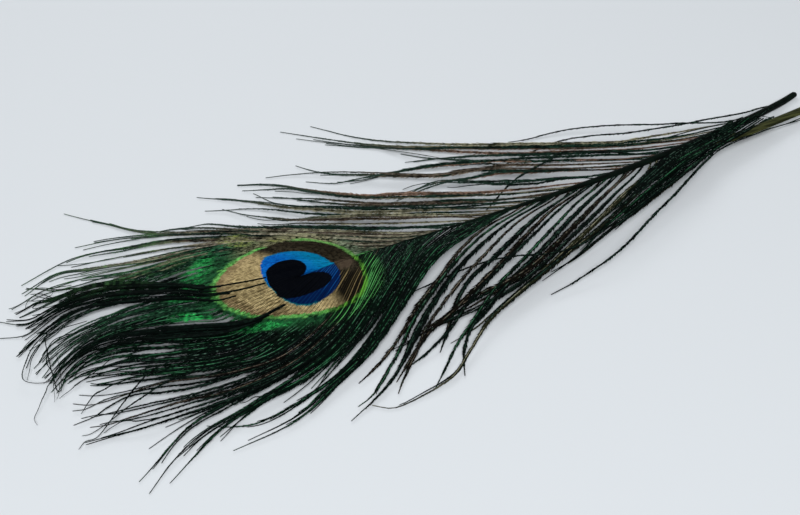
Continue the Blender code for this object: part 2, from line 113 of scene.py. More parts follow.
LOWER_VANE = [
    (-2, (-11, -7), (-25, -19.6), (-42, -29.8), (-60, -34), (-76, -35.4), (-90, -38.5), (-106.5, -49.6)),
    (3, (-6, -6.6), (-22, -19.4), (-38, -30.4), (-56, -36.2), (-72, -39.6), (-86, -42), (-97, -47),
     (-106.5, -53.6)),
    (8, (-1, -6.4), (-16, -18.2), (-34, -30.6), (-50, -37), (-66, -39.6), (-80, -42.8), (-91, -48),
     (-100, -53.6)),
    (13, (3, -6.4), (-12, -17.6), (-28, -29.4), (-40, -35.6), (-52, -41.6)),
    (24, (14, -5.6), (4, -9.4), (-8, -17.8), (-24, -30), (-40, -39.4), (-56, -44), (-70, -45.6),
     (-78, -43.5), (-84, -40)),
    (33, (22, -6.0), (10, -8.8), (-4, -17.2), (-20, -29), (-34, -38), (-48, -44), (-60, -48.4),
     (-76, -50.2)),
    (41, (30, -6.2), (20, -8.8), (10, -11.6), (0, -16.6), (-16, -27.4), (-32, -37.6), (-46, -43.6),
     (-62, -50), (-81, -51)),
    (46, (38, -5.8), (30, -7.2), (21, -10.3), (12, -14.7), (2.5, -20.6), (-10, -28), (-22.5, -36.9),
     (-39, -46.2)),
    (52, (43, -6), (33, -8.4), (22, -12.2), (10, -17.8), (-2, -24.8), (-14, -32.6), (-26, -42.5),
     (-38, -51), (-44, -53.3)),
    (57, (48, -6.4), (38, -8.6), (28, -11.8), (18, -15.8), (8, -20.6), (-4, -28), (-16, -37.2),
     (-30, -48.5), (-48, -57.6)),
    (61, (52, -7), (44, -9), (34, -12.6), (18, -20), (7.5, -25.2), (-2.5, -31), (-13, -37.4),
     (-20, -43.8), (-32.6, -53)),
    (67, (58, -7.4), (46, -11.2), (34, -16), (22, -21.2), (12, -24.8), (5, -29.2), (-1, -34),
     (-7, -40), (-13, -45.6)),
    (71, (62, -7.6), (52, -10.4), (42, -14.8), (32, -19.4), (22, -24.4), (10, -29.4), (-2, -34.6),
     (-15, -39.6), (-30, -50)),
    (75, (66, -7.4), (56, -11), (42, -17.4), (30, -22.6), (15, -29), (2.5, -35), (-6, -40.2),
     (-16, -44.2), (-25.6, -47.2)),
    (80, (71, -7.8), (60, -12), (46, -18.8), (30, -26), (15, -32.6), (3.8, -39.4), (-7, -46),
     (-16, -53), (-21.4, -57.3)),
    (85, (76, -8), (64, -13.2), (52.5, -18.4), (38, -25), (21, -32), (9, -37.6), (0, -42.5),
     (-7, -49.4), (-12, -57)),
    (90, (81, -8), (70, -13), (60, -17.6), (47.5, -23.2), (38, -27.2), (28, -30.6), (18, -32.2),
     (5, -32.8), (-16, -36.6)),
    (95, (87, -8.2), (76, -13), (63, -19), (47.5, -25.4), (32, -31.4), (20, -35), (4, -37),
     (-12, -36.8), (-24, -38.4)),
    (101, (93, -8.8), (80, -14.4), (64, -21.2), (48, -27.6), (34, -32.4), (18, -37.4), (2, -42.4),
     (-8, -44.6)),
    (107, (98, -9.4), (86, -14.8), (70, -21.4), (54, -27.2), (38, -32), (20, -37.6), (6, -43),
     (-6, -50.6), (-16, -56.6), (-29, -58.6), (-36, -58.6), (-40.6, -55)),
    (113, (104, -10), (90, -15.8), (76, -20.6), (62, -24.8), (48, -28.8), (36, -31.2), (20, -32.2),
     (6, -33)),
    (124, (112, -11.8), (100, -16.4), (88, -20), (72, -24.8), (56, -29.2), (44, -32), (31, -33.4)),
    (132, (120, -6.6), (108, -10.2), (96, -14.2), (84, -18.4), (70, -23), (56, -27), (45, -30.3)),
    (141, (128, -5.6), (116, -8.8), (104, -12), (92, -15.6), (80, -20), (66, -25.2)),
]
# Long barbs that have come away from their neighbours and lie across them or beside them.
STRAYS = [
    (152, (145, 4.4), (136, 4.3), (128, 5.8), (120, 9.4), (114, 12), (108, 15.6), (95, 24.5),
     (82, 31), (66, 37)),
    (166, (158, 8.3), (150, 7.1), (140, 6.7), (132, 6.9), (124, 7.7), (115, 9.3), (100, 13.4),
     (88, 19.8), (76, 23.6), (50, 24.6)),
    (129, (119, -10), (110, -14.9), (100, -19.8), (90, -24.4), (80, -28.4), (70, -32.6), (60, -36.4),
     (50, -38.8), (30, -40.7)),
    (124, (104, -12.4), (84, -21), (64, -26.6), (48, -29.8), (37, -28.4), (27, -24.4), (14, -21.4),
     (0, -20), (-12, -20)),
    (104, (86, 6.5), (74, 14.5), (67, 13), (58, 11.2), (50, 9.4), (42, 7), (35, 3.8)),
]

# Barbs that run through the eye and end in the tip's fringe, from its upper edge to its middle.
TIP_UPPER = [
    (-11, (-20, 6.8), (-33, 18.6), (-48, 25), (-62, 28.5), (-72, 29.6), (-82, 31), (-92, 33.5),
     (-100, 34.5), (-107, 36.5), (-112, 35)),
    (-12, (-21, 7.2), (-34, 18.8), (-50, 24.2), (-62, 26.4), (-72, 27.4), (-82, 28.6), (-90, 30.4),
     (-97, 32.5), (-104, 36), (-107, 39.5)),
    (-13.5, (-22.5, 7.4), (-35, 17.8), (-51, 22.6), (-63, 24.4), (-74, 25), (-84, 26.6), (-92, 28.6),
     (-100, 29.6), (-108, 27.8), (-114, 28), (-119.5, 33)),
    (-15, (-24, 7.6), (-37, 16.6), (-53, 20.6), (-64, 21.6), (-74, 22.4), (-84, 24.4), (-93, 26.4),
     (-101, 27), (-108, 25), (-115, 22.5), (-121.5, 26)),
    (-16.5, (-25.5, 7.7), (-38.5, 15.6), (-54, 17.8), (-65, 18.6), (-75, 20), (-85, 22), (-94, 23.6),
     (-102, 23), (-109, 20.5), (-114, 19), (-119, 16)),
    (-18, (-27, 7.6), (-40, 14.4), (-55, 15.8), (-66, 16.4), (-76, 17.6), (-86, 19.4), (-95, 20.6),
     (-103, 20.4), (-109, 18), (-115, 14.6), (-120, 9)),
    (-19.5, (-28.5, 7.5), (-41, 13.4), (-56, 13.6), (-66, 13.6), (-75, 14.2), (-85, 15), (-94, 16),
     (-103, 16), (-110, 14.5), (-116, 10)),
    (-21, (-30, 7.3), (-42.5, 12.4), (-57, 11.6), (-66, 11.4), (-75, 12.8), (-85, 14), (-94, 14.6),
     (-103, 14.6), (-111, 12), (-117.5, 7.5)),
    (-23, (-32, 6.8), (-44.5, 11), (-58, 9.4), (-66, 8.8), (-74, 10.8), (-83, 12.8), (-92, 13.4),
     (-101, 13), (-110, 10.4), (-118.5, 6)),
    (-25, (-34, 6), (-46.5, 9), (-59, 7), (-66, 6.4), (-73, 8.8), (-82, 11.4), (-91, 12.4), (-100, 12),
     (-109, 9.6), (-117.5, 4.6)),
    (-27, (-36, 5.4), (-49, 7), (-60, 4.8), (-67, 4.4), (-74, 7.2), (-82, 9.6), (-91, 11), (-100, 11),
     (-109, 8), (-117, 2.6)),
    (-29, (-38, 4.7), (-51, 5), (-61, 2.8), (-67, 2.4), (-73, 5), (-81, 7.8), (-90, 9.8), (-99, 10.2),
     (-108, 7), (-116, 1.4)),
    (-31, (-41, 3.2), (-53, 3), (-62, 1.2), (-68, 2), (-75, 5.4), (-83, 7.8), (-92, 9), (-101, 8.8),
     (-109, 5), (-116, -0.4)),
]
# The same on the other side of the shaft, from the middle to the lower edge.
TIP_LOWER = [
    (-32.5, (-43, 1), (-55, 0), (-64, -2), (-70, 0), (-76, 3), (-84, 5.6), (-92, 7.6), (-101, 7.4),
     (-109, 4), (-116, -1)),
    (-32, (-42, -0.6), (-54, -3), (-64, -5.4), (-70, -2.6), (-76, 0.8), (-84, 4.2), (-92, 6.6),
     (-101, 6.6), (-109, 3.4), (-115, -2)),
    (-30.5, (-40, -1.8), (-53, -5.8), (-63, -9.4), (-70, -7), (-76, -4), (-84, -0.6), (-92, 2.8),
     (-100, 4.8), (-108, 2.4), (-113.5, -2.5)),
    (-29, (-38.5, -2.8), (-52, -8), (-63, -12), (-71, -9.6), (-78, -6.2), (-86, -2.2), (-94, 1.6),
     (-102, 3), (-109, 0.6), (-114, -4)),
    (-27, (-36, -3.8), (-50.5, -10), (-63, -14), (-72, -11.6), (-80, -8), (-88, -3.8), (-96, 0),
     (-104, 1), (-110, -2)),
    (-25, (-34, -4.8), (-49, -12), (-62, -16), (-72, -14), (-80, -10.8), (-88, -6.8), (-96, -2.6),
     (-104, -0.8), (-111, -2.6), (-115, -6)),
    (-23, (-32, -5.7), (-47, -13.8), (-61, -18), (-72, -16.2), (-81, -12.8), (-89, -8.6), (-97, -4.6),
     (-105, -2.6), (-111, -4)),
    (-21, (-30, -6.5), (-45, -15.4), (-60, -20), (-72, -18.4), (-81, -15), (-90, -10.6), (-98, -6.6),
     (-106, -4.4), (-110, -5)),
    (-19, (-28, -7.2), (-42.5, -16.8), (-59, -22), (-71, -20.6), (-81, -17.2), (-90, -12.8), (-98, -8.8),
     (-106, -5.6)),
    (-17, (-26, -7.8), (-40.5, -18.2), (-58, -24), (-70, -22.8), (-80, -19.4), (-89, -15), (-97, -11),
     (-104, -8.2)),
    (-15, (-24, -8.2), (-38, -19.4), (-56, -25.8), (-69, -25), (-78, -22.4), (-87, -18), (-95, -14),
     (-103, -10.5), (-106, -8.6)),
]
# Below them, the separate barbs under the fringe.
TIP_LOWEST = [
    (-14, (-23, -8.2), (-37, -19.8), (-54.5, -27), (-67, -26.2), (-77, -23), (-85, -20), (-93, -17.8),
     (-100, -15.8), (-106, -13.4), (-110, -10.6)),
    (-13, (-22, -8.2), (-36, -20), (-53.5, -27.4), (-68, -26.8), (-79, -23.6), (-87, -20.6), (-95, -18.6),
     (-103, -17), (-108.5, -15.6), (-112.5, -12.8)),
    (-12, (-21, -8.1), (-35, -20.2), (-52.5, -27.8), (-68, -27.2), (-80, -24.4), (-90, -20), (-98, -17.4),
     (-104, -16), (-110, -16.6), (-113.5, -15.4)),
    (-11, (-20, -8), (-34, -20.4), (-51.5, -28.2), (-68, -27.4), (-80, -26), (-90, -22.6), (-97, -19.2),
     (-104, -19.2), (-109, -20.5), (-115, -20.2)),
    (-10, (-19, -7.9), (-33, -20.6), (-50.5, -28.6), (-66, -29.8), (-78, -28.6), (-88, -26.4),
     (-96, -24.2), (-104, -22), (-110, -20.6)),
    (-9, (-18, -7.8), (-32, -20.8), (-49.5, -29), (-65, -30.4), (-77, -29.6), (-86, -27.6), (-95, -25.2),
     (-103, -22.4), (-108, -19.5), (-112, -18.2)),
    (-8, (-17, -7.7), (-31, -21), (-48.5, -29.4), (-62, -31.8), (-74, -31.6), (-84, -29.6), (-93, -28),
     (-102, -26.2), (-107, -25.6), (-111.5, -24)),
    (-7, (-16, -7.6), (-30, -21.2), (-47.5, -29.8), (-61, -32.6), (-74, -32.4), (-85, -30.2),
     (-94, -28.6), (-101, -26.6), (-105, -24.6), (-108.5, -23.4)),
    (-6, (-15, -7.5), (-29, -21.2), (-46.5, -30.2), (-60, -33.2), (-74, -33.2), (-87, -31.8),
     (-97, -30.4), (-105, -29.4), (-110, -28.4)),
    (-5, (-14, -7.4), (-28, -21.2), (-45.5, -30.6), (-59, -33.8), (-74, -34.4), (-88, -33.4), (-99, -32),
     (-107, -30.2), (-114.5, -28.8)),
]
# Black barbs that lie over the eye's bronze and over the fringe: x, y from their visible start to the tip.
BLACK_UPPER = [
    ((-60, 9.6), (-67, 13.6), (-74, 19.6), (-81, 25), (-88, 29.6), (-95, 33), (-101, 36.5), (-104, 40),
     (-108.5, 43)),
    ((-62, 11), (-70, 16.4), (-77, 22.4), (-84, 27.6), (-91, 31), (-98, 31.5), (-104, 32), (-109, 34),
     (-114.5, 33)),
    ((-44.6, 4.4), (-52, 6.4), (-59, 8.8), (-65, 12.5), (-71, 17), (-78, 22), (-85, 26.5), (-92, 29),
     (-99, 29.4), (-106, 28.6), (-112, 28), (-118, 31.5)),
    ((-58, 7.8), (-63, 10.4), (-68, 14), (-74, 18.6), (-81, 23.5), (-88, 27.5), (-96, 28.6), (-104, 27.6),
     (-112, 26.5), (-116, 28)),
    ((-60, 7), (-65, 10), (-70, 13.6), (-77, 18.6), (-84, 22.8), (-92, 26.5), (-100, 27.5), (-108, 26.4),
     (-114, 25)),
    ((-46, 2), (-53, 3.1), (-59, 4.8), (-64, 7.4), (-69, 10.8), (-75, 15.4), (-82, 20), (-90, 24),
     (-98, 26), (-106, 25.5), (-113, 23.4)),
    ((-57, 3.6), (-63, 6.2), (-69, 9.8), (-76, 14.4), (-83, 18.8), (-90, 22.4), (-98, 24.8), (-105, 24),
     (-111, 22), (-116, 21)),
    ((-56, 1.5), (-61, 2.4), (-66, 5.6), (-71, 9.4), (-78, 13.8), (-85, 17.8), (-92, 21), (-100, 22.6),
     (-108, 20.6), (-114, 17.6), (-120, 14.5)),
]
BLACK_LOWER = [
    ((-45, -9.5), (-50, -10.3), (-56, -10.7), (-62, -9.6), (-67, -7.2), (-73, -4), (-80, -0.8),
     (-88, 2.6), (-96, 5.4), (-103, 6), (-109, 4.4), (-116, 1)),
    ((-49, -10.4), (-55, -11.4), (-61, -11.2), (-66, -9.2), (-72, -6), (-79, -2.6), (-87, 1), (-95, 4.2),
     (-103, 4.8), (-110, 2), (-117, -0.8)),
    ((-54, -11.8), (-60, -12.2), (-66, -10.8), (-72, -7.8), (-79, -4.2), (-87, -0.6), (-95, 2.8),
     (-103, 3.4), (-110, 0.6), (-115, -3)),
    ((-58, -13), (-65, -12.4), (-72, -9.8), (-80, -6), (-88, -2), (-96, 1.2), (-103, 1.8), (-109, -0.8)),
]
# Single barbs that cross the others in the fringe and below it.
CROSSING = [
    ((-62, -15), (-75, -14.6), (-85, -14), (-90, -14.6), (-96, -18), (-104, -24.5), (-111, -29.2),
     (-114.5, -28.6), (-117, -30)),
    ((-62, -22), (-75, -22), (-85, -21), (-92, -21.8), (-100, -24), (-106, -26), (-112, -27),
     (-114.5, -26.3)),
    ((-58, -38.8), (-62, -39.2), (-67, -38.6), (-72.5, -37.2)),
    ((-90, -16), (-96, -14.6), (-103, -14.6), (-108, -16), (-112, -18)),
    ((-92, -33), (-98, -31), (-104, -28.6), (-109, -28)),
]
# Barbs of the lower vane's end, which lie along the shaft and its sliver before they spread.
BASE_BARBS = [
    ((158, 1), (150, -1.6), (140, -3.6), (130, -6.4), (121, -8.8), (113, -11.8), (106, -14), (98, -16.8),
     (91, -18.8), (83, -21)),
    ((154, 0.6), (145, -2.6), (134, -5.4), (124, -7.8), (115, -10.4), (107, -12.8), (99, -15.4),
     (90, -18), (79, -21), (66, -24.4)),
    ((152, 1.6), (142, -1.6), (132, -4.6), (122, -6.8), (113, -8.8), (105, -11.4), (97, -13.8),
     (88, -16.4), (70, -22.6), (48, -30)),
    ((149, 2.4), (139, -0.8), (129, -3.6), (119, -5.6), (110, -7.8), (101, -10.2), (92, -12.6),
     (82, -16.4), (70, -21), (50, -28)),
    ((145, 2.2), (135, -0.8), (126, -2.8), (116, -4.8), (106, -7.4), (97, -10.6), (88, -13.8), (77, -18),
     (62, -23.8)),
    ((141, 1.6), (131, -0.8), (121, -2.8), (111, -5), (101, -7.4), (92, -10.2), (83, -14), (72, -18.8),
     (60, -22.6)),
    ((136, 1.2), (126, -1.2), (116, -2.8), (106, -4.6), (97, -7.2), (89, -10.4), (80, -14.4), (68, -19.2),
     (56, -23.4)),
]
# Thin barbs beside the shaft near its cut end.
HAIRS = [
    ((172, -2.4), (160, -4.6), (150, -5.6), (140, -6.9), (130, -8.3), (121, -9.8), (113, -12.8),
     (104, -17)),
    ((166, -4.4), (154, -5), (142, -6.2), (130, -7.6), (120, -9.2)),
    ((170, 1), (163, 0.3), (158, 0.2), (154, 2), (150, 2.6), (142, 0.8)),
    ((145, 3.7), (137, 3.4), (130, 4), (122, 4.5), (115, 5), (108, 6), (100, 7.5), (95, 9), (88, 11.5)),
    ((165, 6.6), (157, 4.4), (149, 1.4), (140, -1.2), (130, -3)),
]
# Thin tips that curl back at the end of the fringe.
CURLS = [
    ((-98, 20.5), (-104, 19.5), (-110, 17.5), (-116, 13), (-120, 7), (-121.6, 2.5), (-120, 0),
     (-116.5, -1), (-112, 0)),
    ((-98, 19), (-107, 19.6), (-111, 15), (-113, 5), (-115, -5), (-115.2, -8), (-114, -8.2), (-112.5, -4),
     (-111, 4), (-110, 10)),
    ((-104, 4), (-112, 0), (-117, -5.5), (-121, -10), (-123.8, -13), (-124, -15.5)),
    ((-98, -4), (-105, -7), (-110, -8), (-115, -9.5)),
    ((-98, 22), (-104, 22), (-110, 20), (-116, 17), (-119.4, 14.6)),
    ((-98, 1), (-106, -1), (-112, -3.5), (-116, -9)),
    ((-98, 16), (-108, 17), (-115, 12), (-119, 6), (-120.5, 3)),
    ((-100, 12), (-109, 13), (-113.5, 6), (-114.5, -2), (-117, -9.5)),
    ((-96, 33), (-104, 32.4), (-109, 34.5), (-115.5, 37)),
    ((-96, 36), (-103, 38), (-108, 37), (-112, 33.5)),
    ((-98, 28), (-106, 29), (-110, 31), (-104, 34), (-101, 38)),
    ((-96, 31), (-101, 30), (-104, 35), (-108, 40)),
]

# The camera: 38 degrees above the surface, 30 degrees round from the shaft.
CAMERA_TARGET = (0.0, 0.0, 0.0)
CAMERA_TURN = -30.0
CAMERA_RISE = 38.0
CAMERA_DISTANCE = 425.0
CAMERA_LENS = 60.0

FLOOR_COLOUR = (0.70, 0.73, 0.755)
FLOOR_HEIGHT = -0.00005
ROOM_COLOUR = (0.955, 0.975, 1.0)
ROOM_LIGHT = 0.27

STEPS = 72                     # points along a barb
BUNDLE = 1.5                   # guides that a bundle of barbs spans
LOWEST = 0.03                  # nothing of a barb comes nearer to the surface than this
CURL_FROM = 0.85               # share of a barb's length from which its end curls
TONES = "kgbocp"               # a strand's colour: black, green, brown, olive, copper or pale
KNIT_CENTRE = (-39.0, 2.0)     # the zone where barbs lie knitted
KNIT_HALF = (27.0, 24.0)
KNIT_SHEAR = 0.2
KNIT_EDGE = (0.86, 1.12)       # from fully knitted to loose, as shares of its half size
FRINGE_X = -62.0               # the fringe lies left of this
KNITTED_RAMUS = 0.2            # half width of a ramus there, and the length of a barbule
KNITTED_BARBULE = 1.05
BARBULE_SPACING = 0.36
BARBULE_HALF_WIDTH = 0.34      # of a loose barbule, and how much narrower a knitted one is
BARBULE_NARROWER = 0.14
BARBULE_LEAN = 25.0            # degrees from the barb, and how much more where it is knitted
BARBULE_LEAN_MORE = 13.0
BARBULE_DROOP = 9.0            # degrees below the barb's own plane, loose and knitted
KNITTED_DROOP = 3.0
BARBULE_BEND = 0.55            # share of a barbule's length at which it bends

# The web under the eye's barbs: rows of a sheared oval, a little below the middle layer.
WEB_CENTRE = (-38.5, 1.5)
WEB_HALF = (24.36, 22.62)
WEB_SHEAR = 0.23
WEB_DEPTH = 0.25
WEB_ROW_HALF_WIDTH = 0.42
WEB_ROW_STEP = 0.033

# Points along the shaft and the sliver, and sides round them.
SHAFT_RINGS = 160
SHAFT_SIDES = 16
SHAFT_FLATNESS = 0.85
SLIVER_RINGS = 60
SLIVER_SIDES = 12
SLIVER_FLATNESS = 0.2
SLIVER_HALF_WIDTH = 1.95

# Whose looks a barb has: those of the upper vane, of both, of the lower vane or of the black barbs.
UPPER, BOTH, LOWER, BLACK = 1.0, 0.5, 0.0, -1.0


# ---------------------------------------------------------------- the feather's form

LINE = np.array([point[:3] for point in SHAFT] + TIP_LINE)[::-1]
SHAFT_X = [point[0] for point in SHAFT[::-1]]
SHAFT_RADIUS = [point[3] for point in SHAFT[::-1]]


def shaft_y(x):
    return np.interp(x, LINE[:, 0], LINE[:, 1])


def height(x, y):
    """Height of the feather's middle layer: it arches with the shaft and sinks away from it."""
    middle_z = np.interp(x, LINE[:, 0], LINE[:, 2])
    sink = np.exp(-((y - shaft_y(x)) / DRAPE_REACH) ** 2)
    return REST_HEIGHT + (middle_z - REST_HEIGHT) * sink


def shaft_top(x, y):
    """How far the shaft's round top stands above the middle layer at a place beside or on it."""
    radius = np.interp(x, SHAFT_X, SHAFT_RADIUS)
    return radius * np.exp(-((y - shaft_y(x)) / (1.1 * radius)) ** 2)


def smooth(value, low, high):
    """0 below low, 1 above high, and an S between them."""
    t = np.clip((value - low) / (high - low), 0.0, 1.0)
    return t * t * (3 - 2 * t)


def knit(x, y):
    """1 where the barbs lie knitted in the eye, 0 where they are loose."""
    u = (x - KNIT_CENTRE[0] + KNIT_SHEAR * (y - KNIT_CENTRE[1])) / KNIT_HALF[0]
    v = (y - KNIT_CENTRE[1]) / KNIT_HALF[1]
    return 1 - smooth(np.hypot(u, v), *KNIT_EDGE)


def distances(line):
    """How far along a line each of its points lies."""
    return np.concatenate([[0], np.cumsum(np.linalg.norm(np.diff(line, axis=0), axis=1))])


def evenly(line, count):
    """count evenly spaced points on a line."""
    reach = distances(line)
    targets = np.linspace(0, reach[-1], count)
    return np.stack([np.interp(targets, reach, line[:, k]) for k in range(line.shape[1])], 1)


def spline(points, count, steps=16):
    """count evenly spaced points on a smooth curve through the given points."""
    points = np.asarray(points, float)
    ends = np.vstack([2 * points[0] - points[1], points, 2 * points[-1] - points[-2]])
    a, b, c, d = ends[:-3, None], ends[1:-2, None], ends[2:-1, None], ends[3:, None]
    t = np.linspace(0, 1, steps, endpoint=False)[None, :, None]
    square = 2 * a - 5 * b + 4 * c - d
    cube = 3 * b - a - 3 * c + d
    dense = b + 0.5 * ((c - a) * t + square * t ** 2 + cube * t ** 3)
    dense = np.vstack([dense.reshape(-1, points.shape[1]), points[-1]])
    return evenly(dense, count)


def guide(barb):
    """A barb's path on the surface, from its root on the shaft."""
    return spline([(barb[0], shaft_y(barb[0])), *barb[1:]], STEPS)


def left_part(line, x):
    """The part of a path that lies left of x."""
    return evenly(line[line[:, 0] < x], STEPS)


def wave(share, cycles, rng):
    """A smooth random wave along a barb, from -1 to 1."""
    total = np.zeros_like(share)
    for k in range(3):
        total += np.sin(2 * math.pi * (cycles * (k + 1) * 0.6 * share + rng.random())) / (k + 1)
    return total / 1.8


def unit(vectors):
    return vectors / np.maximum(np.linalg.norm(vectors, axis=-1, keepdims=True), 1e-9)


# ---------------------------------------------------------------- strands as meshes

def in_metres(points):
    """Points of the drawing in the part's own frame, whose origin is under its middle."""
    return (points - (MIDDLE[0], MIDDLE[1], 0.0)) * MM


def add_piece(name, mesh, material):
    """An object of the mesh, as part of the feather's one node and its one slot."""
    mesh.shade_smooth()
    mesh.materials.append(material)
    mesh.validate()
    piece = bpy.data.objects.new(name, mesh)
    bpy.context.scene.collection.objects.link(piece)
    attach(piece, "root")
    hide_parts("feather")


class Strands:
    """Gathers barbs with their barbules into one mesh."""

    def __init__(self, name):
        self.name = name
        self.points = []
        self.faces = []
        self.strand = []       # distance along the barb in mm, the barb's own number, 0 at the ramus to 1
        self.kind = []         # share of the barb's length, whose looks it has, 1 where it is knitted
        self.rows = []         # u along the barb and v across it, from -1 to 1
        self.row_of = []
        self.barbs = 0
        self.total = 0

    def add(self, points, faces, along, share, edge, across, number, vane, knitted):
        """Points and triangles, with what the material and the bake need to know at each point."""
        count = len(points)
        self.points.append(points)
        self.faces.append(faces + self.total)
        self.strand.append(np.stack([along, np.full(count, number), edge], 1))
        self.kind.append(np.stack([share, np.full(count, vane), knitted], 1))
        self.rows.append(np.stack([share, across], 1))
        self.row_of.append(np.full(count, self.barbs))
        self.total += count

    def build(self, material):
        points = np.vstack(self.points)
        points[:, 2] = np.maximum(points[:, 2], LOWEST)
        faces = np.vstack(self.faces)
        mesh = bpy.data.meshes.new(self.name)
        mesh.vertices.add(len(points))
        mesh.vertices.foreach_set("co", in_metres(points).ravel())
        mesh.loops.add(faces.size)
        mesh.loops.foreach_set("vertex_index", faces.ravel())
        mesh.polygons.add(len(faces))
        mesh.polygons.foreach_set("loop_start", np.arange(0, faces.size, 3))
        mesh.update(calc_edges=True)
        for name, values in (("strand", self.strand), ("kind", self.kind)):
            layer = mesh.attributes.new(name, "FLOAT_VECTOR", "POINT")
            layer.data.foreach_set("vector", np.vstack(values).ravel())
        self.unwrap(mesh, faces)
        add_piece(self.name, mesh, material)

    def unwrap(self, mesh, faces):
        """A row of the bake's image for each barb, with the barb along it."""
        rows = np.vstack(self.rows)
        row_height = 1.0 / self.barbs
        u = 0.005 + 0.99 * np.clip(rows[:, 0], 0, 1)
        v = (np.concatenate(self.row_of) + 0.5 + 0.47 * rows[:, 1]) * row_height
        layer = mesh.uv_layers.new(name="OFBake")
        layer.uv.foreach_set("vector", np.stack([u, v], 1)[faces.ravel()].ravel())


def axes_of(path, roll):
    """Along, sideways and up at each point of a path, rolled about it by roll."""
    along = unit(np.gradient(path, axis=0))
    side = unit(np.cross(along, (0, 0, 1)))
    up = np.cross(side, along)
    turn, lean = np.cos(roll)[:, None], np.sin(roll)[:, None]
    return along, side * turn + up * lean, up * turn - side * lean


def barb(strands, path, vane, rng, tone="k", barbule=1.3, thick=0.42, roll=0.0, short=0.6, fade=0.65,
         loose=False):
    """A barb: a flat roof-shaped ramus that narrows to its tip, with two rows of barbules.

    barbule is the length of the barbules and thick half the ramus's width. At the root the barbules
    have the share short of their length, and at the tip they have lost the share fade of it. A loose
    barb isn't knitted where it crosses the eye.
    """
    number = (TONES.index(tone) + 0.05 + 0.9 * rng.random()) / len(TONES)
    reach = distances(path)
    share = reach / reach[-1]
    knitted = knit(path[:, 0], path[:, 1]) * (0.0 if loose else 1.0)
    rolls = roll * (1 - knitted) * smooth(share, 0.05, 0.3) * (1 + 0.5 * wave(share, 2.0, rng))
    axes = axes_of(path, rolls)
    add_ramus(strands, path, axes, reach, knitted, number, vane, thick, fade)
    for sign in (-1, 1):
        add_barbules(strands, path, axes, reach, knitted, number, vane, rng, sign, barbule, short, fade)
    strands.barbs += 1


def add_ramus(strands, path, axes, reach, knitted, number, vane, thick, fade):
    """The barb's rib: three lines of points along the path, with the middle one on top, and closed ends."""
    along, side, up = axes
    share = reach / reach[-1]
    wide = thick * (0.65 + 0.35 * smooth(share, 0.02, 0.2)) * (1 - max(0.7, fade) * share ** 1.3)
    wide = (wide * (1 - knitted) + KNITTED_RAMUS * knitted)[:, None]
    top = up * (0.10 + 0.05 * knitted)[:, None]
    rings = np.stack([path - side * wide - top * 0.8, path + top, path + side * wide - top * 0.8], 1)
    count = len(path)
    points = np.vstack([rings.reshape(-1, 3), path[-1] + along[-1] * 0.3])
    faces = []
    for a in range(3):
        b = (a + 1) % 3
        start = np.arange(count - 1) * 3
        faces.append(np.stack([start + a, start + b, start + b + 3], 1))
        faces.append(np.stack([start + a, start + b + 3, start + a + 3], 1))
    last = (count - 1) * 3
    faces.append(last + np.array([[0, 1, 3], [1, 2, 3], [2, 0, 3]]))
    faces.append(np.array([[2, 1, 0]]))
    across = np.append(np.tile([-0.1, 0.0, 0.1], count), 0.0)
    edge = np.append((0.3 * (1 - knitted)[:, None] * np.array([1, 0, 1])).ravel(), 0.0)
    strands.add(points, np.vstack(faces), np.append(np.repeat(reach, 3), reach[-1]),
                np.append(np.repeat(share, 3), 1.0), edge, across, number, vane,
                np.append(np.repeat(knitted, 3), knitted[-1]))


